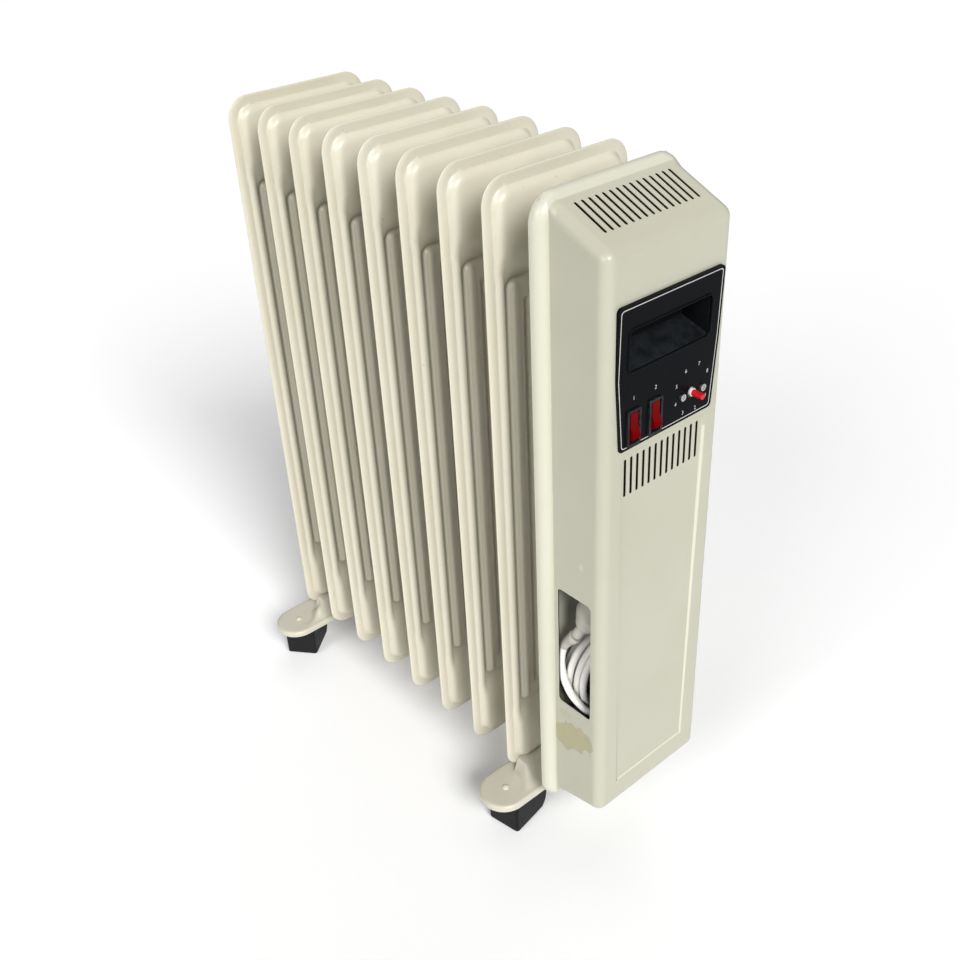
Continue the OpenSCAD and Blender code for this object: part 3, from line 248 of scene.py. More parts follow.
def cordPoints(s):
    last = s["loops"] * 360
    start = coilPoint(s, 0) - coilHeading(s, 0) * s["thick"]
    gland, plug, way = Vector(s["gland"]), Vector(s["plug"]), Vector(s["plugWay"]).normalized()
    up = Vector((0, 0, 1))
    lead = [gland, gland - up * s["glandDrop"], start + up * s["coilDrop"], start]
    count = int(s["loops"] * s["pointsPerLoop"])
    points = [bezierPoint(lead, i / s["leadPoints"]) for i in range(s["leadPoints"] + 1)]
    points += [coilPoint(s, i * last / count) for i in range(count + 1)]
    tail = [coilPoint(s, last - s["tailEase"]), points[-1]]
    tail += [Vector((x, frontFinY + y, z)) for x, y, z in s["tail"]] + [plug, plug + way * s["plugRun"]]
    for four in zip(tail, tail[1:], tail[2:], tail[3:]):
        points += [splinePoint(four, i / s["tailPoints"]) for i in range(1, s["tailPoints"] + 1)]
    return points


def tubeCurve(name, points, radius, resolution=5, ring=False):
    tube = withSettings(bpy.data.curves.new(name, "CURVE"), dimensions="3D", bevel_depth=radius,
                        bevel_resolution=resolution, use_fill_caps=True)
    spline = tube.splines.new("POLY")
    spline.points.add(len(points) - 1)
    for place, point in zip(spline.points, points):
        place.co = (*point, 1)
    spline.use_cyclic_u = ring
    spline.use_smooth = True
    return newObject(name, tube)


def tapered(name, path, s):
    # a strain relief round the path's first stretch
    points, gone = [path[0]], 0
    for a, b in zip(path, path[1:]):
        if gone < s["length"]:
            gone += (b - a).length
            points.append(b)
    made = tubeCurve(name, points, 1)
    thick, thin = s["radii"]
    for i, place in enumerate(made.data.splines[0].points):
        place.radius = thick + (thin - thick) * i / (len(points) - 1)
    return made


route = cordPoints(cordRoute)
mainsCord = tubeCurve("mainsCord", route, cordRoute["thick"] / 2)
glandSleeve = tapered("glandSleeve", route, cordRoute["sleeve"])
plugBoot = tapered("plugBoot", route[::-1], cordRoute["boot"])


# Node groups

def setInputs(node, inputs):
    # an input takes another node's output or a plain value
    for name, value in inputs.items():
        if hasattr(value, "links"):
            node.id_data.links.new(value, node.inputs[name])
        else:
            node.inputs[name].default_value = value


def addNode(tree, kind, inputs, **settings):
    made = withSettings(tree.nodes.new(kind), **settings)
    setInputs(made, inputs)
    return made


def newGroup(name, inputs, outputs, kind="ShaderNodeTree"):
    # a group with its two ends; a socket is given by its kind, or by a number's value
    group = bpy.data.node_groups.new(name, kind)
    for way, sockets in (("INPUT", inputs), ("OUTPUT", outputs)):
        for title, value in sockets.items():
            named = isinstance(value, str)
            form = "NodeSocket" + (value if named else "Float")
            socket = group.interface.new_socket(name=title, in_out=way, socket_type=form)
            if not named:
                socket.default_value = value
    return group, group.nodes.new("NodeGroupInput").outputs, group.nodes.new("NodeGroupOutput")


def mathNode(kind, *inputs, clamp=False):
    tree = next(value for value in inputs if hasattr(value, "links")).id_data
    inputs = dict(enumerate(inputs))
    return addNode(tree, "ShaderNodeMath", inputs, operation=kind, use_clamp=clamp).outputs[0]


def times(a, b, clamp=False):
    return mathNode("MULTIPLY", a, b, clamp=clamp)


def noiseNode(place, scale, detail, rough=0.55):
    inputs = {"Vector": place, "Scale": scale, "Detail": detail, "Roughness": rough}
    return addNode(place.id_data, "ShaderNodeTexNoise", inputs).outputs["Fac"]


def rampNode(value, low, high):
    inputs = {"Value": value, "From Min": low, "From Max": high}
    made = addNode(value.id_data, "ShaderNodeMapRange", inputs, interpolation_type="SMOOTHSTEP")
    return made.outputs["Result"]


def rgba(colour):
    return (*colour, 1) if isinstance(colour, tuple) else colour


def mixColour(amount, a, b):
    inputs = {0: amount, 6: a, 7: rgba(b)}
    return addNode(amount.id_data, "ShaderNodeMix", inputs, data_type="RGBA").outputs[2]


def facing(tree):
    return tree.nodes.new("ShaderNodeNewGeometry").outputs["Normal"]


weathering = {
    "toneRamp": (0.35, 0.72), "speckFineness": 34, "speckRamp": (0.70, 0.80),
    "edgeSamples": 4, "edgeRamp": (0.02, 0.16), "brokenRamp": (0.45, 0.62),
    "grainShare": 0.35, "smearFineness": 2.3,
    "upwardRamp": (0.35, 0.98), "patchRamp": (0.30, 0.66),
}


def agedColourGroup(s):
    # uneven tone and fine specks over a finish
    group, start, end = newGroup("agedColour", {
        "Vector": "Vector", "clean": "Color", "aged": "Color", "grime": "Color",
        "toneScale": 8, "tone": 0.5, "specks": 0.3}, {"Colour": "Color"})
    place, scale = start["Vector"], start["toneScale"]
    tone = times(rampNode(noiseNode(place, scale, 3), *s["toneRamp"]), start["tone"])
    toned = mixColour(tone, start["clean"], start["aged"])
    fine = noiseNode(place, times(scale, s["speckFineness"]), 2, 0.6)
    specks = times(rampNode(fine, *s["speckRamp"]), start["specks"])
    setInputs(end, {"Colour": mixColour(specks, toned, start["grime"])})
    return group


def edgeWearGroup(s):
    # a mask of worn edges; on the switch frames, with its large share, it also paints a highlight along
    # the edges
    group, start, end = newGroup("edgeWear", {
        "Vector": "Vector", "wear": 0.5, "wearScale": 60, "reach": 0.0008}, {"Mask": "Float"})
    rounded = addNode(group, "ShaderNodeBevel", {"Radius": start["reach"]}, samples=s["edgeSamples"])
    turned = addNode(group, "ShaderNodeVectorMath", {0: rounded.outputs[0], 1: facing(group)},
                     operation="DOT_PRODUCT")
    edge = rampNode(mathNode("SUBTRACT", 1, turned.outputs["Value"]), *s["edgeRamp"])
    broken = rampNode(noiseNode(start["Vector"], start["wearScale"], 5, 0.65), *s["brokenRamp"])
    setInputs(end, {"Mask": times(times(edge, broken), start["wear"], clamp=True)})
    return group


def surfaceGroup(s):
    # fine grain over soft waves, for bump, and a roughness that wanders
    group, start, end = newGroup("surfaceGrain", {
        "Vector": "Vector", "grain": 700, "waviness": 30, "rough": 0.35, "spread": 0.15},
        {"Height": "Float", "Roughness": "Float"})
    place, waves = start["Vector"], start["waviness"]
    fine, broad = noiseNode(place, start["grain"], 2), noiseNode(place, waves, 2)
    smear = noiseNode(place, times(waves, s["smearFineness"]), 5, 0.7)
    wander = times(mathNode("SUBTRACT", smear, 0.5), start["spread"])
    setInputs(end, {"Height": mathNode("ADD", times(fine, s["grainShare"]), broad),
                    "Roughness": mathNode("ADD", wander, start["rough"], clamp=True)})
    return group


def dustGroup(s):
    # a mask of the dust on faces that look up
    group, start, end = newGroup("settledDust", {
        "Vector": "Vector", "dust": 0.4, "dustScale": 40}, {"Mask": "Float"})
    split = addNode(group, "ShaderNodeSeparateXYZ", {0: facing(group)})
    upward = rampNode(split.outputs["Z"], *s["upwardRamp"])
    patchy = rampNode(noiseNode(start["Vector"], start["dustScale"], 6, 0.7), *s["patchRamp"])
    setInputs(end, {"Mask": times(times(upward, patchy), start["dust"], clamp=True)})
    return group


wornGroups = [make(weathering) for make in (agedColourGroup, edgeWearGroup, surfaceGroup, dustGroup)]


# Materials

def placeGroup(group, place, s):
    # the group's inputs take the settings of their names
    made = addNode(place.id_data, "ShaderNodeGroup", {"Vector": place}, node_tree=group)
    setInputs(made, {name: rgba(s[name]) for name in made.inputs.keys() if name in s})
    return made.outputs


def mark(place, colour, s):
    # a ragged patch, such as old glue, laid on one side of a piece
    tree, turn = place.id_data, [math.radians(a) for a in s["turn"]]
    centred = addNode(tree, "ShaderNodeMapping", {
        "Vector": place, "Location": s["place"], "Rotation": turn, "Scale": s["size"]},
        vector_type="TEXTURE")
    away = addNode(tree, "ShaderNodeVectorMath", {0: centred.outputs[0]}, operation="LENGTH")
    ragged = times(noiseNode(place, s["ragged"], 5, 0.6), s["raggedness"])
    edge = mathNode("ADD", away.outputs["Value"], ragged)
    patch = mathNode("SUBTRACT", 1, rampNode(edge, *s["edge"]))
    cloudy = noiseNode(place, s["ragged"] * 2, 3)
    uneven = mathNode("ADD", times(cloudy, 1 - s["least"]), s["least"])
    strength = times(times(patch, uneven), s["strength"], clamp=True)
    return mixColour(strength, colour, s["colour"])


def panelLines(place, colour, s):
    # painted shade in the sunk panel's left crease, a painted highlight on its right and lower edges,
    # and a painted highlight that makes the casing's bead paler
    x, y, z = addNode(place.id_data, "ShaderNodeSeparateXYZ", {0: place}).outputs
    width, foot = s["width"], s["foot"]
    half = mathNode("ADD", times(z, s["lean"]), s["footHalf"] - foot * s["lean"])
    inFront = times(mathNode("LESS_THAN", y, s["face"]),
                    mathNode("GREATER_THAN", z, foot - width / 2))
    inFront = times(inFront, mathNode("LESS_THAN", z, s["top"]))
    between = mathNode("LESS_THAN", mathNode("ABSOLUTE", x), half)

    def band(value, middle, width):
        far = mathNode("ABSOLUTE", mathNode("SUBTRACT", value, middle))
        return mathNode("SUBTRACT", 1, rampNode(far, width * s["core"], width))

    crease = band(mathNode("ADD", x, half), width, width * 0.75)
    right = band(mathNode("SUBTRACT", x, half), -width, width * 1.1)
    lower = times(band(z, foot + width / 2, width * 0.8), between)
    rubbed = times(mathNode("MAXIMUM", right, lower), inFront)
    # painted highlight on the sunk panel's right and lower slopes
    colour = mixColour(rubbed, colour, s["rubbed"])
    # painted highlight: the bead at the casing's back edge is paler
    colour = mixColour(rampNode(y, *s["beadHighlightFrom"]), colour, s["rim"])
    # painted shade in the sunk panel's left crease
    return mixColour(times(crease, inFront), colour, s["grime"])


def finish(name, s):
    # one worn, grained finish from its settings
    material = bpy.data.materials.new(name)
    material.use_nodes = True
    tree = material.node_tree
    shader = tree.nodes["Principled BSDF"]
    place = tree.nodes.new("ShaderNodeTexCoord").outputs["Object"]
    tone, wear, grain, dust = (placeGroup(group, place, s) for group in wornGroups)
    colour = mixColour(wear["Mask"], tone["Colour"], s["rubbed"])
    colour = mixColour(dust["Mask"], colour, s["dustColour"])
    for spot in s.get("marks", ()):
        colour = mark(place, colour, spot)
    if "sunkPanel" in s:
        colour = panelLines(place, colour, s["sunkPanel"])
    # painted shade carried by the meshes: near-black inside the casing, dark in the fins' grooves
    for share in ("lining", "groove"):  # shares that a mesh carries with it
        if share in s:
            carried = addNode(tree, "ShaderNodeAttribute", {}, attribute_name=share)
            colour = mixColour(carried.outputs["Fac"], colour, s[share])
    bump = addNode(tree, "ShaderNodeBump", {
        "Strength": s["bump"], "Distance": s["depth"], "Height": grain["Height"]})
    setInputs(shader, {
        "Base Color": colour, "Roughness": grain["Roughness"], "Normal": bump.outputs["Normal"],
        "Metallic": s.get("metal", 0), "Specular IOR Level": s.get("shine", 0.4),
        "Coat Weight": s.get("coat", 0), "Coat Roughness": s.get("coatRough", 0.2)})
    return material


def shades(base, **changes):
    return {**base, **changes}


paintLook = {
    "clean": (0.585, 0.556, 0.452), "aged": (0.55, 0.515, 0.40), "grime": (0.30, 0.26, 0.17),
    "rubbed": (0.66, 0.635, 0.51), "toneScale": 7, "tone": 0.6, "specks": 0.35,
    "wear": 0.35, "wearScale": 90, "grain": 900, "waviness": 24, "rough": 0.36, "spread": 0.16,
    "bump": 0.12, "depth": 0.0006, "coat": 0.25, "coatRough": 0.25,
    "dust": 0.25, "dustScale": 34, "dustColour": (0.47, 0.44, 0.335),
}
plasticLook = {
    "clean": (0.007, 0.0075, 0.009), "aged": (0.014, 0.0135, 0.014), "grime": (0.14, 0.135, 0.12),
    "rubbed": (0.07, 0.068, 0.066), "toneScale": 14, "tone": 0.7, "specks": 0.2,
    "wear": 0.5, "wearScale": 140, "grain": 1500, "waviness": 60, "rough": 0.42, "spread": 0.25,
    "bump": 0.2, "depth": 0.0003, "shine": 0.12,
    "dust": 0.12, "dustScale": 90, "dustColour": (0.12, 0.12, 0.12),
}
glueLeft = {
    "place": (-0.066, frontFinY - 0.0801, 0.1535), "size": (0.005, 0.031, 0.0185), "turn": (-22, 0, 0),
    "ragged": 85, "raggedness": 1.0, "edge": (1.2, 1.26), "least": 0.3,
    "strength": 1.1, "colour": (0.375, 0.34, 0.19),
}
glueRim = shades(glueLeft, edge=(1.29, 1.35), strength=1, colour=(0.30, 0.275, 0.165))
glueSpot = shades(glueLeft, place=(-0.066, frontFinY - 0.0711, 0.176), size=(0.02, 0.010, 0.007),
                  turn=(0, 0, 0), strength=0.7, colour=(0.40, 0.37, 0.235))
paintChip = shades(glueLeft, place=(-0.066, frontFinY - 0.0901, 0.348), size=(0.02, 0.0035, 0.0045),
                   turn=(20, 0, 0), ragged=420, raggedness=1.6, edge=(1.1, 1.9),
                   strength=0.5, colour=(0.66, 0.66, 0.56))
# painted light on the casing: shade in the sunk panel's left crease, highlights on its right and lower
# edges and on the bead
sunkPanel = {
    "foot": 0.108, "top": 0.440, "footHalf": 0.044, "lean": 0.0131, "face": frontFinY - 0.1095,
    "width": 0.0011, "core": 0.4, "grime": (0.25, 0.24, 0.17), "rubbed": (0.56, 0.555, 0.45),
    # rim: the colour of the painted highlight on the bead
    "beadHighlightFrom": (frontFinY - 0.0600, frontFinY - 0.0585), "rim": (0.535, 0.53, 0.432),
}
rockerLook = shades(plasticLook, clean=(0.13, 0.0003, 0.0015), aged=(0.105, 0.0003, 0.0015), shine=0.03,
                    grime=(0.10, 0.004, 0.004), rubbed=(0.36, 0.02, 0.03), rough=0.22, wear=0.25,
                    dust=0, specks=0.05)
looks = {
    # groove: the colour of the painted shade in the fins' grooves
    "finEnamel": shades(paintLook, groove=(0.13, 0.118, 0.085)),
    "casingPaint": shades(
        paintLook, clean=(0.435, 0.43, 0.342), aged=(0.405, 0.394, 0.306), grain=1300, rough=0.42,
        # lining: the near-black painted shade inside the casing and on the vents' side walls
        toneScale=9, lining=(0.012, 0.0115, 0.010), sunkPanel=sunkPanel,
        marks=(glueRim, glueLeft, glueSpot, paintChip)),
    "footPaint": shades(paintLook, clean=(0.51, 0.49, 0.408), aged=(0.48, 0.455, 0.368), toneScale=14),
    "panelBlack": shades(
        plasticLook, clean=(0.0035, 0.004, 0.0055), aged=(0.0055, 0.0055, 0.0065), rough=0.26,
        spread=0.12, bump=0.05, dust=0, specks=0.05, wear=0.25, shine=0.025),
    "pocketBlack": shades(
        plasticLook, clean=(0.005, 0.006, 0.007), aged=(0.009, 0.0105, 0.012), rough=0.4, specks=0.35,
        toneScale=30, shine=0.05, dust=0.22, dustColour=(0.055, 0.062, 0.068)),
    "hoodBlack": shades(plasticLook, rough=0.48),
    "wheelBlack": shades(plasticLook, clean=(0.016, 0.016, 0.016), rough=0.62, specks=0.6),
    "rockerRed": rockerLook,
    "spindleRed": shades(rockerLook, clean=(0.55, 0.014, 0.022), aged=(0.48, 0.012, 0.018), shine=0.2),
    # switch frames: black plastic whose edges are painted pale, partly as wear and partly as a painted
    # highlight
    "frameGrey": shades(plasticLook, clean=(0.009, 0.009, 0.010), rubbed=(0.13, 0.13, 0.13), wear=0.8,
                        dust=0),
    "plugGrey": shades(
        plasticLook, clean=(0.44, 0.425, 0.37), aged=(0.36, 0.345, 0.29), toneScale=60,
        grime=(0.20, 0.19, 0.16), rubbed=(0.5, 0.49, 0.45), rough=0.4),
    "whitePlastic": shades(
        plasticLook, clean=(0.72, 0.71, 0.67), aged=(0.62, 0.60, 0.54), grime=(0.30, 0.28, 0.24),
        rubbed=(0.8, 0.79, 0.75), rough=0.4),
    "cordSkin": shades(
        plasticLook, clean=(0.80, 0.79, 0.75), aged=(0.70, 0.68, 0.62), grime=(0.34, 0.32, 0.27),
        rubbed=(0.86, 0.85, 0.82), rough=0.46, toneScale=24, wear=0.2),
    "zincPlate": shades(
        plasticLook, clean=(0.55, 0.55, 0.54), aged=(0.42, 0.41, 0.38), grime=(0.16, 0.14, 0.11),
        rubbed=(0.75, 0.75, 0.73), rough=0.34, metal=1, bump=0.25),
    "heaterSteel": shades(
        plasticLook, clean=(0.33, 0.31, 0.30), aged=(0.23, 0.20, 0.18), grime=(0.10, 0.08, 0.06),
        rubbed=(0.5, 0.48, 0.46), rough=0.45, metal=1),
    "printSilver": shades(
        plasticLook, clean=(0.62, 0.62, 0.60), aged=(0.48, 0.48, 0.46), rubbed=(0.7, 0.7, 0.68),
        rough=0.35, metal=0.4, wear=0.1),
}
finishes = {name: finish(name, look) for name, look in looks.items()}
print("finishes mixed,", len(finishes))


def coat(piece, name):
    # a piece wears one finish
    piece.data.materials.clear()
    piece.data.materials.append(finishes[name])


# Fins

finPress = {
    "width": 0.150, "height": 0.585, "corner": 0.021,
    "flangeHalf": 0.0008, "flangeEdge": 0.0006, "rim": 0.0003,
    "headerInset": 0.009, "headerHalf": 0.008, "headerCorner": 0.014,
    "headerEnd": 0.057, "slopeEnd": 0.079,
    "channelAt": 0.0615, "channelHalf": 0.004, "channelStart": 0.037,
    "fieldSide": 0.0555, "fieldHalf": 0.003, "fieldStart": 0.081, "fieldEdge": 0.0014,
    "fieldCorner": 0.007,
    "seams": (-0.037, 0, 0.037), "seamHalf": 0.003, "seamStart": 0.097,
    "ribs": (-0.049, -0.020, 0.020, 0.049), "ribHalf": 0.0046, "ribStart": 0.0864,
    "soft": 0.0013, "headerSoft": 2, "fieldSoft": 0.6,  # shares of soft
}
# painted shade along the fins' grooves, fainter towards the middle and the bottom
grooveShade = {
    "grime": 0.72, "fineShadeAt": 0.0011, "fineShadeWidth": 0.0012,
    "shade": 0.3, "shadeAt": 0.0030, "shadeWidth": 0.0026, "shadeReach": 0.11, "shadeFade": 0.02,
    "lowEnd": 0.09, "lowFade": 0.01, "lowLoss": 0.6, "middleShare": 0.2,
}
# lines of the press from its middle and ends, close together where the form turns
finGrid = {
    "across": (0, 0.0016, 0.0031, 0.010, 0.029, 0.043, 0.0548, 0.0562, 0.0662, 0.0685),
    "round": (-1.05, -0.9, -0.62, -0.22, 0.22, 0.62, 0.9, 1.05), "seam": (-3.2, -1.7, 1.7, 3.2),
    "up": (0, 0.0003, 0.001, 0.0022, 0.004, 0.0063, 0.0088, 0.0094, 0.0103, 0.0116, 0.0135, 0.016,
           0.0185, 0.0215, 0.026, 0.036, 0.0385, 0.050, 0.0575, 0.064, 0.0715, 0.0755, 0.078, 0.0797,
           0.0812, 0.0824, 0.0836, 0.085, 0.087, 0.0895, 0.0925, 0.0945, 0.0968, 0.099, 0.102, 0.125,
           0.17, 0.23),
}
finStack = {"count": 8, "pitch": 0.050, "unevenness": 0.00025, "seed": 7.3}


def softMax(a, b, k):
    near = np.maximum(k - np.abs(a - b), 0) / k
    return np.maximum(a, b) + near * near * k / 4


def roundedRect(x, z, halfW, halfH, corner):
    # how far a point lies inside a rounded rectangle about the middle
    dx, dz = np.abs(x) - halfW + corner, np.abs(z) - halfH + corner
    outside = np.hypot(np.maximum(dx, 0), np.maximum(dz, 0))
    return corner - outside - np.minimum(np.maximum(dx, dz), 0)


def insideField(x, z, s):
    half = s["height"] / 2
    return roundedRect(x, z - half, s["fieldSide"], half - s["fieldStart"], s["fieldCorner"])


def finHalf(x, z, s):
    # half thickness of a pressed fin at x across and z up from its bottom
    halfW, halfH = s["width"] / 2, s["height"] / 2
    near = np.minimum(z, s["height"] - z)
    within = roundedRect(x, z - halfH, halfW, halfH, s["corner"])
    flange = s["rim"] + (s["flangeHalf"] - s["rim"]) * np.clip(within / s["flangeEdge"], 0, 1)
    inset = s["headerInset"]
    inner = roundedRect(x, z - halfH, halfW - inset, halfH - inset, s["headerCorner"])
    inner = np.clip(inner, 0, s["headerHalf"])
    dome = np.sqrt(np.maximum(s["headerHalf"] ** 2 - (s["headerHalf"] - inner) ** 2, 0))
    slope = s["headerHalf"] * np.clip((s["slopeEnd"] - near) / (s["slopeEnd"] - s["headerEnd"]), 0, 1)
    header = -softMax(-dome, -slope, s["soft"] * s["headerSoft"])
    aside = np.abs(x) - s["channelAt"]
    channel = np.sqrt(np.maximum(s["channelHalf"] ** 2 - aside ** 2, 0)) * (near > s["channelStart"])
    edge = s["fieldEdge"]
    inField = np.clip(insideField(x, z, s) / edge, 0, 1)
    for seam in s["seams"]:
        reach = np.hypot(x - seam, np.maximum(s["seamStart"] + s["seamHalf"] - near, 0))
        inField = inField * np.clip((reach - s["seamHalf"] + edge) / edge, 0, 1)
    inField = inField * inField * (3 - 2 * inField)
    field = s["flangeHalf"] + (s["fieldHalf"] - s["flangeHalf"]) * inField
    whole = softMax(softMax(flange, header, s["soft"]), channel, s["soft"])
    whole = softMax(whole, field * (inField > 0), s["soft"] * s["fieldSoft"])
    for rib in s["ribs"]:
        reach = np.hypot(x - rib, np.maximum(s["ribStart"] - near, 0))
        whole = softMax(whole, np.sqrt(np.maximum(s["ribHalf"] ** 2 - reach ** 2, 0)), s["soft"])
    return np.where(within < s["flangeEdge"], flange, whole)


def grooveShare(x, z, press, s):
    # painted shade in the groove round the ribbed field: a fine dark line, with a softer shade at its
    # upper end
    away = insideField(x, z, press)
    sideways = np.clip(np.abs(x) / press["fieldSide"], 0, 1) ** 3
    fine = s["grime"] * np.exp(-((away + s["fineShadeAt"]) / s["fineShadeWidth"]) ** 2)
    soft = s["shade"] * np.exp(-((away + s["shadeAt"]) / s["shadeWidth"]) ** 2)
    soft = soft * np.clip((z - press["height"] + s["shadeReach"]) / s["shadeFade"], 0, 1)
    fine = fine * (1 - s["lowLoss"] * np.clip((s["lowEnd"] - z) / s["lowFade"], 0, 1))
    return np.clip(fine + soft, 0, 1) * (s["middleShare"] + (1 - s["middleShare"]) * sideways)


def finLines(press, s):
    side, millimetre = press["width"] / 2, 0.001
    across = {side, side - press["flangeEdge"], *s["across"]}
    across |= {press["seams"][2] + k * millimetre for k in s["seam"]}
    rounds = ((press["channelAt"], press["channelHalf"]), (press["ribs"][3], press["ribHalf"]),
              (press["ribs"][2], press["ribHalf"]))
    for middle, half in rounds:
        across |= {middle + half * k for k in s["round"]}
    across = sorted(across)
    up = list(s["up"])
    columns = [-x for x in reversed(across[1:])] + across
    rows = up + [press["height"] / 2] + [press["height"] - z for z in reversed(up)]
    return np.array(columns), np.array(rows)


def finMesh(s):
    columns, rows = finLines(s, finGrid)
    near = np.minimum(rows, s["height"] - rows)
    turn = np.maximum(s["corner"] - near, 0)
    half = s["width"] / 2 - s["corner"] + np.sqrt(s["corner"] ** 2 - turn ** 2)
    x = columns[None, :] * (half / (s["width"] / 2))[:, None]
    z = np.repeat(rows[:, None], len(columns), axis=1)
    t = finHalf(x, z, s)
    wide, tall = len(columns), len(rows)
    points = np.concatenate([np.stack([x, side * t, z], -1).reshape(-1, 3) for side in (-1, 1)])
    ring, count = rimOf(wide, tall), wide * tall
    faces = gridFaces(wide, tall) + gridFaces(wide, tall, count, turned=True)
    faces += bandFaces([count + i for i in ring], ring)
    mesh = bpy.data.meshes.new("finPressing")
    mesh.from_pydata(points.tolist(), [], faces)
    mesh.validate()
    share = np.tile(grooveShare(x, z, s, grooveShade).reshape(-1), 2).astype(np.float32)
    mesh.attributes.new("groove", "FLOAT", "POINT").data.foreach_set("value", share)
    smoothByAngle(mesh, 60)
    return mesh


def finStackTree():
    # repeats one pressing along the oil pipes, each a little uneven
    tree, start, end = newGroup("finStack", {
        "Geometry": "Geometry", "Fins": "Int", "Pitch": 0.05, "First Fin": "Vector",
        "Unevenness": 0.0002, "Seed": 1, "Enamel": "Material"},
        {"Geometry": "Geometry"}, "GeometryNodeTree")
    offset = addNode(tree, "ShaderNodeCombineXYZ", {"Y": start["Pitch"]})
    row = addNode(tree, "GeometryNodeMeshLine", {
        "Count": start["Fins"], "Start Location": start["First Fin"], "Offset": offset.outputs[0]},
        mode="OFFSET")
    stack = addNode(tree, "GeometryNodeInstanceOnPoints", {
        "Points": row.outputs["Mesh"], "Instance": start["Geometry"]})
    real = addNode(tree, "GeometryNodeRealizeInstances", {"Geometry": stack.outputs["Instances"]})
    place = tree.nodes.new("GeometryNodeInputPosition").outputs[0]
    noise = addNode(tree, "ShaderNodeTexNoise", {
        "Vector": place, "W": start["Seed"], "Scale": 9, "Detail": 1}, noise_dimensions="4D")
    centred = mathNode("SUBTRACT", noise.outputs["Fac"], 0.5)
    push = addNode(tree, "ShaderNodeCombineXYZ", {"Y": times(centred, start["Unevenness"])})
    move = addNode(tree, "GeometryNodeSetPosition", {
        "Geometry": real.outputs["Geometry"], "Offset": push.outputs[0]})
    paint = addNode(tree, "GeometryNodeSetMaterial", {
        "Geometry": move.outputs["Geometry"], "Material": start["Enamel"]})
    setInputs(end, {"Geometry": paint.outputs["Geometry"]})
    return tree


def makeFins(press, s):
    fins = newObject("fins", finMesh(press))
    coat(fins, "finEnamel")
    modifier = fins.modifiers.new("finStack", "NODES")
    modifier.node_group = finStackTree()
    first = (0, frontFinY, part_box("fin_8")[0][2])
    inputs = {"Fins": s["count"], "Pitch": s["pitch"], "First Fin": first,
              "Unevenness": s["unevenness"], "Seed": s["seed"], "Enamel": finishes["finEnamel"]}
    for socket in modifier.node_group.interface.items_tree:
        if socket.name in inputs:
            modifier[socket.identifier] = inputs[socket.name]
    fins.update_tag()
    applyModifiers(fins)
    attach(fins, "radiator")
    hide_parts(*[f"fin_{i}" for i in range(1, s["count"] + 1)])
    return fins


fins = makeFins(finPress, finStack)
print("fins pressed,", len(fins.data.polygons), "faces")


# Feet

footPress = {
    "half": 0.024, "edge": 0.003, "sheet": 0.0015, "skirt": 0.0065,
    "swivelInset": 0.026, "discRadius": 0.0145,  # level plate round the rivet
    "ramp": 0.012, "nearSlope": 0.021, "topWidth": 0.007, "finGap": 0.0016,
    "behindFin": (0.062, 0.008), "farSlope": 0.016,  # the saddle's back wall turns into a slope
    "stripHalf": 0.0302, "stripGap": 0.0003,
    "edgeSteps": (0, 0.04, 0.14, 0.3, 0.52, 0.78, 1),  # shares of the edge's radius
    "nearRows": 22, "farRows": 6, "rowGap": 0.0003, "alongStep": 0.0016,
}


def smoothStep(t):
    t = np.clip(t, 0, 1)
    return t * t * (3 - 2 * t)


def footSheet(s, reach, wall, level, top, inner):
    # the sheet's outer side as a grid of points, or its inner side
    t = s["sheet"] if inner else 0
    half, reach, r, wall = s["half"] - t, reach - t, s["edge"] - t, wall - t
    edge = r * np.array(s["edgeSteps"])
    near = np.linspace(-half + r, wall, s["nearRows"])
    far = np.linspace(wall + s["rowGap"], half - r, s["farRows"])
    rows = np.concatenate([-half + edge[:-1], near, far, (half - edge[:-1])[::-1]])
    endX = reach - half
    span = endX + np.sqrt(np.maximum(half ** 2 - rows ** 2, 0))
    middle = np.linspace(-1, 1, round(2 * (reach + t) / s["alongStep"]))
    x = np.concatenate([-span[:, None] + edge[None, :-1], middle[None, :] * (span[:, None] - r),
                        span[:, None] - edge[None, -2::-1]], axis=1)
    y = np.repeat(rows[:, None], x.shape[1], axis=1)
    inside = np.clip(half - np.hypot(np.maximum(np.abs(x) - endX, 0), y), 0, r)
    drop = r - np.sqrt(np.maximum(r ** 2 - (r - inside) ** 2, 0))
    swivel = reach + t - s["swivelInset"]
    away = np.hypot(np.abs(x) - swivel, y)
    along = smoothStep((away - s["discRadius"] - t) / s["ramp"]) * (np.abs(x) < swivel)
    across = smoothStep((y + s["nearSlope"] - t) / (wall - s["topWidth"] + s["nearSlope"]))
    across = across * (y <= wall + tiny)
    start, width = s["behindFin"]
    clear = smoothStep((np.abs(x) - start) / width)
    behind = 1 - clear + clear * smoothStep((wall - y) / s["farSlope"])
    z = level - t - drop + (top - level) * along * across * behind
    return np.stack([x, y, z], -1)


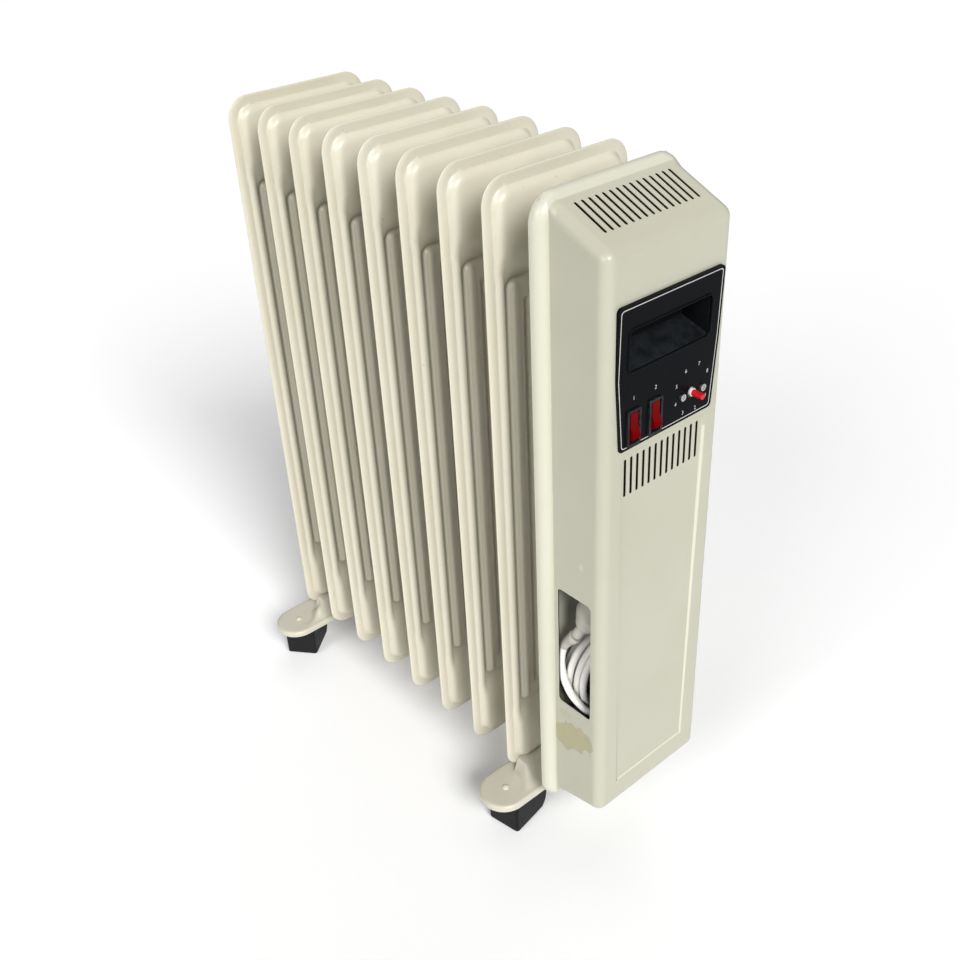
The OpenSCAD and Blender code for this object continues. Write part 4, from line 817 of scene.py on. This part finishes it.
def footMesh(name, s, reach, wall, level, top):
    points, faces, rims, start = [], [], [], 0
    for inner in (False, True):
        grid = footSheet(s, reach, wall, level, top, inner)
        tall, wide = grid.shape[:2]
        sheet, ring = grid.reshape(-1, 3), rimOf(wide, tall)
        skirt = sheet[ring]
        skirt[:, 2] = level - s["skirt"]
        points += [sheet, skirt]
        low = start + len(sheet)
        rims.append(list(range(low, low + len(ring))))
        faces += gridFaces(wide, tall, start) + bandFaces([start + i for i in ring], rims[-1])
        start = low + len(ring)
    faces += bandFaces(*rims)
    mesh = bpy.data.meshes.new(name)
    mesh.from_pydata(np.concatenate(points).tolist(), [], faces)
    shape = opened(mesh)
    strip = bmesh.ops.create_cube(shape, size=1)["verts"]
    near = s["half"] - s["edge"]
    size = Vector((2 * s["stripHalf"], near + wall - s["sheet"], s["sheet"] - s["stripGap"]))
    place = Vector((0, (wall - s["sheet"] - near) / 2, level - s["sheet"] / 2))
    for point in strip:
        point.co = Vector([a * b for a, b in zip(point.co, size)]) + place
    bmesh.ops.recalc_face_normals(shape, faces=shape.faces)
    closed(shape, mesh)
    smoothByAngle(mesh, 40)
    return mesh


def makeFoot(node, fin, name, s):
    low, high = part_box(node)
    middleY, level = (low[1] + high[1]) / 2, low[2] + s["skirt"]
    wall = middleOf(fin)[1] - s["finGap"] - middleY
    foot = newObject(name, footMesh(name, s, high[0], wall, level, high[2]))
    foot.data.transform(Matrix.Translation((0, middleY, 0)))
    coat(foot, "footPaint")
    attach(foot, "radiator")
    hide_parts(node)


makeFoot("front_foot", "fin_8", "frontFoot", footPress)
makeFoot("rear_foot", "fin_1", "rearFoot", footPress)
print("feet pressed")


# Casing

casingForm = {
    "radius": 0.0095, "cadRadii": (0.0065, 0.007, 0.0065),  # the sheet's folds, rounder than in the CAD
    "side": 0.066, "front": 0.1133,
    "top": 0.611, "topSlope": 24.9, "bottom": 0.081, "underSlope": 13.2,
    "rim": 0.050, "bead": 0.009, "fade": 0.007, "fadeCuts": 4,
    "cuts": (0.0004, 0.0014, 0.003, 0.0048, 0.0066, 0.008, 0.0095),
    "edge": 0.0003, "merge": 0.0001, "skin": 0.0005,
    "cutAngle": 0.65, "flatWay": 0.9999,  # radians, and a cosine
    # how far the faces inside the casing look inwards or sideways, and from what depth
    "inwards": -0.3, "inwardsDepth": 0.0008, "sideways": 0.5, "sidewaysDepth": 0.0004,
}


def casingPlanes(s):
    # outward normals and distances of the left, right, front, top and under planes
    t, u = math.radians(s["topSlope"]), math.radians(s["underSlope"])
    y, side = frontFinY - s["front"], s["side"]
    ways = np.array([(-1, 0, 0), (1, 0, 0), (0, -1, 0),
                     (0, -math.sin(t), math.cos(t)), (0, -math.sin(u), -math.cos(u))])
    ons = np.array([(-side, y, 0), (side, y, 0), (0, y, 0), (0, y, s["top"]), (0, y, s["bottom"])])
    return ways, (ways * ons).sum(1)


def depthIn(points, ways, ends, r, rounds=25):
    # how deep points lie in a body whose edges have radius r, and the way out
    near, carried = points.copy(), np.zeros((len(ends),) + points.shape)
    for _ in range(rounds):
        for i, (way, end) in enumerate(zip(ways, ends)):
            start = near + carried[i]
            near = start - np.maximum(start @ way - end + r, 0)[:, None] * way
            carried[i] = start - near
    out = points - near
    far = np.linalg.norm(out, axis=1)
    flat = ends - points @ ways.T
    depth = np.where(far > tiny, r - far, flat.min(1))
    wayOut = np.where(far[:, None] > tiny, out / np.maximum(far, tiny)[:, None], ways[flat.argmin(1)])
    return depth, wayOut, near, far


def cutAlong(shape, ways, ends, depths):
    for way, end in zip(ways, ends):
        for depth in depths:
            parts = shape.verts[:] + shape.edges[:] + shape.faces[:]
            bmesh.ops.bisect_plane(shape, geom=parts, dist=meshRules["merge"],
                                   plane_co=way * (end - depth), plane_no=way)


def markLining(piece, inner):
    # gives the faces inside the casing a painted shade, near-black, as no light reaches them
    share = piece.data.attributes.new("lining", "FLOAT", "FACE").data
    share.foreach_set("value", inner.astype(np.float32))


def makeCasing(s):
    casing = mergedCopy("casing_shell", "casingShell")
    ways, ends = casingPlanes(s)
    shape = opened(casing.data)
    beadY = frontFinY - s["rim"] - s["bead"]
    beadDepth = s["front"] - s["rim"] - s["bead"]
    cutAlong(shape, ways, ends, s["cuts"])
    cutAlong(shape, ways[2:3], ends[2:3],
             [beadDepth - s["fade"] * k / s["fadeCuts"] for k in range(s["fadeCuts"] + 1)])
    bmesh.ops.remove_doubles(shape, verts=shape.verts, dist=s["merge"])
    points = np.array([v.co[:] for v in shape.verts])
    first = np.min([depthIn(points, ways[list(pick)], ends[list(pick)], r)[0]
                    for pick, r in zip(((0, 1, 2), (2, 3, 4), (0, 1, 3)), s["cadRadii"])], axis=0)
    _, out, near, far = depthIn(points, ways, ends, s["radius"])
    rounder = near + out * (s["radius"] - first)[:, None]
    share = smoothStep((beadY - points[:, 1]) / s["fade"]) * (far > tiny) * (first > -s["skin"])
    flat = (out @ ways.T).max(1) > s["flatWay"]
    shape.verts.index_update()
    weight = shape.edges.layers.float.new("bevel_weight_edge")
    for edge in shape.edges:  # those of the vents and openings, as the folds are round already
        a, b = (vert.index for vert in edge.verts)
        if flat[a] and flat[b] and edge.calc_face_angle(0) > s["cutAngle"]:
            edge[weight] = 1
    for vert, place in zip(shape.verts, points + (rounder - points) * share[:, None]):
        vert.co = place
    bmesh.ops.remove_doubles(shape, verts=shape.verts, dist=s["merge"])
    bmesh.ops.dissolve_degenerate(shape, edges=shape.edges, dist=s["merge"])
    closed(shape, casing.data)
    softenEdges(casing, s["edge"], limit="WEIGHT")
    # the faces inside the casing and the vents' side walls take the painted shade
    middles = np.array([f.center[:] for f in casing.data.polygons])
    normals = np.array([f.normal[:] for f in casing.data.polygons])
    depth, out, _, _ = depthIn(middles, ways, ends, s["radius"])
    outwards = (normals * out).sum(1)
    turnedIn = (outwards < s["inwards"]) & (depth > s["inwardsDepth"])
    edgeOn = (np.abs(outwards) <= s["sideways"]) & (depth > s["sidewaysDepth"])
    markLining(casing, turnedIn | edgeOn & ~(middles[:, 1] > beadY - s["skin"]))
    return casing


casing = makeCasing(casingForm)
coat(casing, "casingPaint")
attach(casing, "radiator")
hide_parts("casing_shell")
print("casing folded,", len(casing.data.polygons), "faces")


# Pieces made from their CAD nodes, with softened edges

dressed = [
    # finish, slot, edge radius and the nodes that look so
    ("finEnamel", "enamel", 0.0004, "oil_pipes_top", "oil_pipes_bottom", "header_caps", "casing_post",
     "heater_boss"),
    ("heaterSteel", "element_steel", 0, "heater_tubes"),
    ("zincPlate", "element_steel", 0.0004, "heater_flange"),
    ("whitePlastic", "white_plastic", 0.0002, "heater_terminals"),
    ("casingPaint", "casing_paint", 0.0004, "casing_back"),
    ("panelBlack", "panel_black", 0.0003, "control_plate"),
    ("pocketBlack", "black_plastic", 0.0006, "grip_pocket"),
    ("frameGrey", "black_plastic", 0.0003, "switch_1_housing", "switch_2_housing"),
    ("rockerRed", "red_plastic", 0.0004, "switch_1_rocker", "switch_2_rocker"),
    ("zincPlate", "zinc", 0.0004, "thermostat_body"),
    ("whitePlastic", "white_plastic", 0.0002, "thermostat_bush"),
    ("zincPlate", "zinc", 0.0002, "thermostat_screws"),
    ("spindleRed", "red_plastic", 0.0003, "thermostat_spindle"),
    ("casingPaint", "casing_paint", 0.0003, "bay_bracket"),
    ("pocketBlack", "black_plastic", 0.0004, "cord_gland"),
    ("plugGrey", "white_plastic", 0.0006, "power_plug"),
    ("zincPlate", "zinc", 0.0002, "plug_pins"),
    ("zincPlate", "zinc", 0, "front_clamp", "rear_clamp"),
    ("zincPlate", "zinc", 0.0003, "clamp_nuts"),
    ("finEnamel", "enamel", 0.0003, "caster_stems"),
]
# the bodies that move; all other pieces ride on the radiator
bodies = {"switch_1_rocker": "rocker_1", "switch_2_rocker": "rocker_2", "thermostat_spindle": "spindle"}
for corner in corners:
    dressed += [("hoodBlack", "black_plastic", 0.0005, "hood_" + corner),
                ("wheelBlack", "wheel_plastic", 0.0004, "wheel_" + corner),
                ("zincPlate", "zinc", 0.0002, "axle_" + corner)]
    bodies["hood_" + corner] = "caster_" + corner
    bodies["wheel_" + corner] = bodies["axle_" + corner] = "wheels_" + corner
# pieces that aren't called as their nodes are
otherNames = {"oil_pipes_top": "upperOilPipes", "oil_pipes_bottom": "lowerOilPipes",
              "switch_1_housing": "firstSwitchFrame", "switch_2_housing": "secondSwitchFrame",
              "switch_1_rocker": "firstRocker", "switch_2_rocker": "secondRocker",
              "power_plug": "mainsPlug"}
axleCap = {"radius": 0.0027, "thick": 0.0004, "sunk": 0.00025, "segments": 24}
# how much of its CAD size a piece keeps along each axis
drawnIn = {"bush": (0.68, 1, 0.68), "spindle": (0.86, 1, 0.86), "rocker": (0.8, 0.88, 0.9)}


def verticesOf(mesh):
    return np.array([v.co[:] for v in mesh.vertices])


def capAxle(hood, axle, s):
    # a thin disc in each side of the hood closes the bore over the axle's end
    points = verticesOf(nodes[axle].data)
    middle = points.mean(0)
    way = np.linalg.svd(points - middle, full_matrices=False)[2][0]  # along the axle
    reach = np.abs((verticesOf(hood.data) - middle) @ way).max()
    turn = Vector(way).to_track_quat("Z", "Y").to_matrix().to_4x4()
    shape = opened(hood.data)
    for side in (-1, 1):
        place = Matrix.Translation(Vector(middle + way * side * (reach - s["sunk"]))) @ turn
        bmesh.ops.create_cone(shape, cap_ends=True, segments=s["segments"], radius1=s["radius"],
                              radius2=s["radius"], depth=s["thick"], matrix=place)
    closed(shape, hood.data)
    smoothByAngle(hood.data)


def drawIn(piece, fixed, shares):
    # makes a piece smaller towards a fixed point
    for vert in piece.data.vertices:
        vert.co = [f + (p - f) * share for f, p, share in zip(fixed, vert.co, shares)]


def nameOf(node):
    first, *rest = node.replace("wheel_", "wheels_").split("_")
    return otherNames.get(node, first + "".join(word.title() for word in rest))


pieces = {}
for look, slot, radius, *alike in dressed:
    for node in alike:
        piece = mergedCopy(node, nameOf(node))
        softenEdges(piece, radius)
        if node.startswith("hood_"):
            capAxle(piece, node.replace("hood", "axle"), axleCap)
        coat(piece, look)
        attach(piece, bodies.get(node, "radiator"))
        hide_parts(node)
        pieces[node] = piece
for name in ("bush", "spindle"):
    drawIn(pieces["thermostat_" + name], middleOf("thermostat_" + name), drawnIn[name])
for node in ("switch_1_rocker", "switch_2_rocker"):
    low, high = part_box(node)
    drawIn(pieces[node], ((low[0] + high[0]) / 2, high[1], high[2]), drawnIn["rocker"])
# the casing back's faces that look into the casing take the painted shade too
backFaces = np.array([f.normal.y for f in pieces["casing_back"].data.polygons])
markLining(pieces["casing_back"], backFaces < -casingForm["sideways"])
print("pieces dressed,", len(pieces))


# Printing on the control plate

plateFace = {
    "creaseUp": 0.060, "lowerIn": 0.001, "upperIn": 0.0027,  # the crease, and the face's set-back
    "inset": 0.0022, "line": 0.0007, "proud": 0.00008,
    "lowHalf": 0.0515, "half": 0.056, "corner": 0.004,
    "numberTall": 0.0046,
    # number: (across, up) from the spindle
    "numbers": {1: (0.0162, -0.0087), 2: (0.0045, -0.0152), 3: (-0.0098, -0.0142),
                4: (-0.0187, -0.0038), 5: (-0.0184, 0.0113), 6: (-0.0085, 0.0206),
                7: (0.0064, 0.0217), 8: (0.0166, 0.012)},
    "switchNumberUp": 0.0238,
}
plateLow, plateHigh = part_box("control_plate")
creaseZ = plateLow[2] + plateFace["creaseUp"]
lowerY = plateHigh[1] - plateFace["lowerIn"]
upperLean = (plateHigh[1] - plateFace["upperIn"] - lowerY) / (plateHigh[2] - creaseZ)


def plateY(z, proud):
    # the plate's face: upright below the crease, leaning out above it
    return lowerY + max(z - creaseZ, 0) * upperLean - proud


def arcPoints(x, z, a, radius, steps=6):
    # a quarter of a circle from a degrees
    turns = [math.radians(a + 90 * i / steps) for i in range(steps + 1)]
    return [(x + radius * math.cos(t), z + radius * math.sin(t)) for t in turns]


def borderLoop(s, inset):
    # the plate's outline, drawn in by inset, as points across and up
    low, wide, r = s["lowHalf"] - inset, s["half"] - inset, s["corner"] - inset * 0.5
    z0, z1 = plateLow[2] + inset, plateHigh[2] - inset
    right = arcPoints(low - r, z0 + r, -90, r) + [(wide, creaseZ)] + arcPoints(wide - r, z1 - r, 0, r)
    return right + [(-x, z) for x, z in reversed(right)]


def makeBorder(s):
    outer, inner = borderLoop(s, s["inset"]), borderLoop(s, s["inset"] + s["line"])
    count = len(outer)
    points = [(x, plateY(z, s["proud"]), z) for x, z in outer + inner]
    mesh = bpy.data.meshes.new("plateBorder")
    mesh.from_pydata(points, [], bandFaces(list(range(count)), list(range(count, 2 * count))))
    return newObject("plateBorder", mesh)


def numeral(number, across, up, tall):
    # one printed figure, flat on the plate
    words = withSettings(bpy.data.curves.new("figure", "FONT"), body=str(number), size=tall,
                         align_x="CENTER", align_y="CENTER")
    made = asMesh(newObject("figure", words))
    made.data.transform(Matrix.Rotation(math.radians(90), 4, "X"))
    made.data.transform(Matrix.Translation((across, plateY(up, plateFace["proud"]), up)))
    return made


def makeNumbers(s):
    dial = middleOf("thermostat_bush")
    spots = [(n, dial[0] + x, dial[2] + z) for n, (x, z) in s["numbers"].items()]
    for n in (1, 2):
        place = middleOf(f"switch_{n}_housing")
        spots.append((n, place[0], place[2] + s["switchNumberUp"]))
    shape = bmesh.new()
    for n, x, z in spots:
        figure = numeral(n, x, z, s["numberTall"])
        shape.from_mesh(figure.data)
        bpy.data.objects.remove(figure)
    mesh = bpy.data.meshes.new("plateNumbers")
    closed(shape, mesh)
    return newObject("plateNumbers", mesh)


recessRim = {"wall": 0.0014, "radius": 0.0009, "over": 0.6, "corner": 0.005, "resolution": 3}


def makeRecessLip(s):
    # the raised bead round the finger recess
    low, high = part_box("grip_pocket")
    over, r = s["radius"] * s["over"], s["corner"]
    half = high[0] - s["wall"] + over
    z0, z1 = low[2] + s["wall"] - over, high[2] - s["wall"] + over
    side, low, high = half - r, z0 + r, z1 - r
    spots = ((side, low, -90), (side, high, 0), (-side, high, 90), (-side, low, 180))
    loop = [(x, plateY(z, 0), z) for spot in spots for x, z in arcPoints(*spot, r)]
    lip = asMesh(tubeCurve("recessLip", loop, s["radius"], s["resolution"], ring=True))
    smoothByAngle(lip.data, 60)
    return lip


recessLip = makeRecessLip(recessRim)
coat(recessLip, "panelBlack")
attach(recessLip, "radiator")
for piece in (makeBorder(plateFace), makeNumbers(plateFace)):
    coat(piece, "printSilver")
    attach(piece, "radiator")
print("plate printed")


# Cord finishes, and the CAD cord hidden

coat(mainsCord, "cordSkin")
for relief, look, slot in ((glandSleeve, "pocketBlack", "black_plastic"),
                           (plugBoot, "plugGrey", "white_plastic")):
    coat(relief, look)
    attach(relief, "radiator")
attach(mainsCord, "radiator")
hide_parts("cord_lead", "cord_coil", "cord_tail")


# Floor and light

studio = {
    "floorHalf": 6, "floorColour": (0.93, 0.93, 0.93), "floorRough": 0.9, "floorShine": 0.1,
    "sky": 0.015, "wall": 0.93,  # the wall is seen by the camera and lights nothing
    # degrees round from +X and above the floor, and the light's width in degrees
    "lights": {
        "keyLight": {"turn": -108, "height": 35, "width": 26, "power": 3.46},
        "leftLight": {"turn": -168, "height": 30, "width": 30, "power": 1.5},
        "backLight": {"turn": 35, "height": 60, "width": 60, "power": 0.8},
    },
}


def softLight(name, s):
    lamp = bpy.data.lights.new(name, "SUN")
    withSettings(lamp, energy=s["power"], angle=math.radians(s["width"]))
    turn, height = math.radians(s["turn"]), math.radians(s["height"])
    flat = math.cos(height)
    ray = Vector((-math.cos(turn) * flat, -math.sin(turn) * flat, -math.sin(height)))
    newObject(name, lamp).matrix_world = ray.to_track_quat("-Z", "Y").to_matrix().to_4x4()


def makeStudio(s):
    half = s["floorHalf"]
    mesh = bpy.data.meshes.new("studioFloor")
    ends = [(-half, -half, 0), (half, -half, 0), (half, half, 0), (-half, half, 0)]
    mesh.from_pydata(ends, [], [(0, 1, 2, 3)])
    floor = newObject("studioFloor", mesh)
    paper = bpy.data.materials.new("studioPaper")
    paper.use_nodes = True
    shader = paper.node_tree.nodes["Principled BSDF"]
    setInputs(shader, {"Base Color": (*s["floorColour"], 1), "Roughness": s["floorRough"],
                       "Specular IOR Level": s["floorShine"]})
    mesh.materials.append(paper)
    world = bpy.data.worlds.new("studioWorld")
    world.use_nodes = True
    tree = world.node_tree
    seen = tree.nodes.new("ShaderNodeLightPath").outputs["Is Camera Ray"]
    glow = mathNode("MAXIMUM", times(seen, s["wall"]), s["sky"])
    setInputs(tree.nodes["Background"], {"Color": (1, 1, 1, 1), "Strength": glow})
    bpy.context.scene.world = world
    for name, light in s["lights"].items():
        softLight(name, light)


makeStudio(studio)
bpy.context.scene.view_settings.view_transform = "Standard"
print("studio lit")
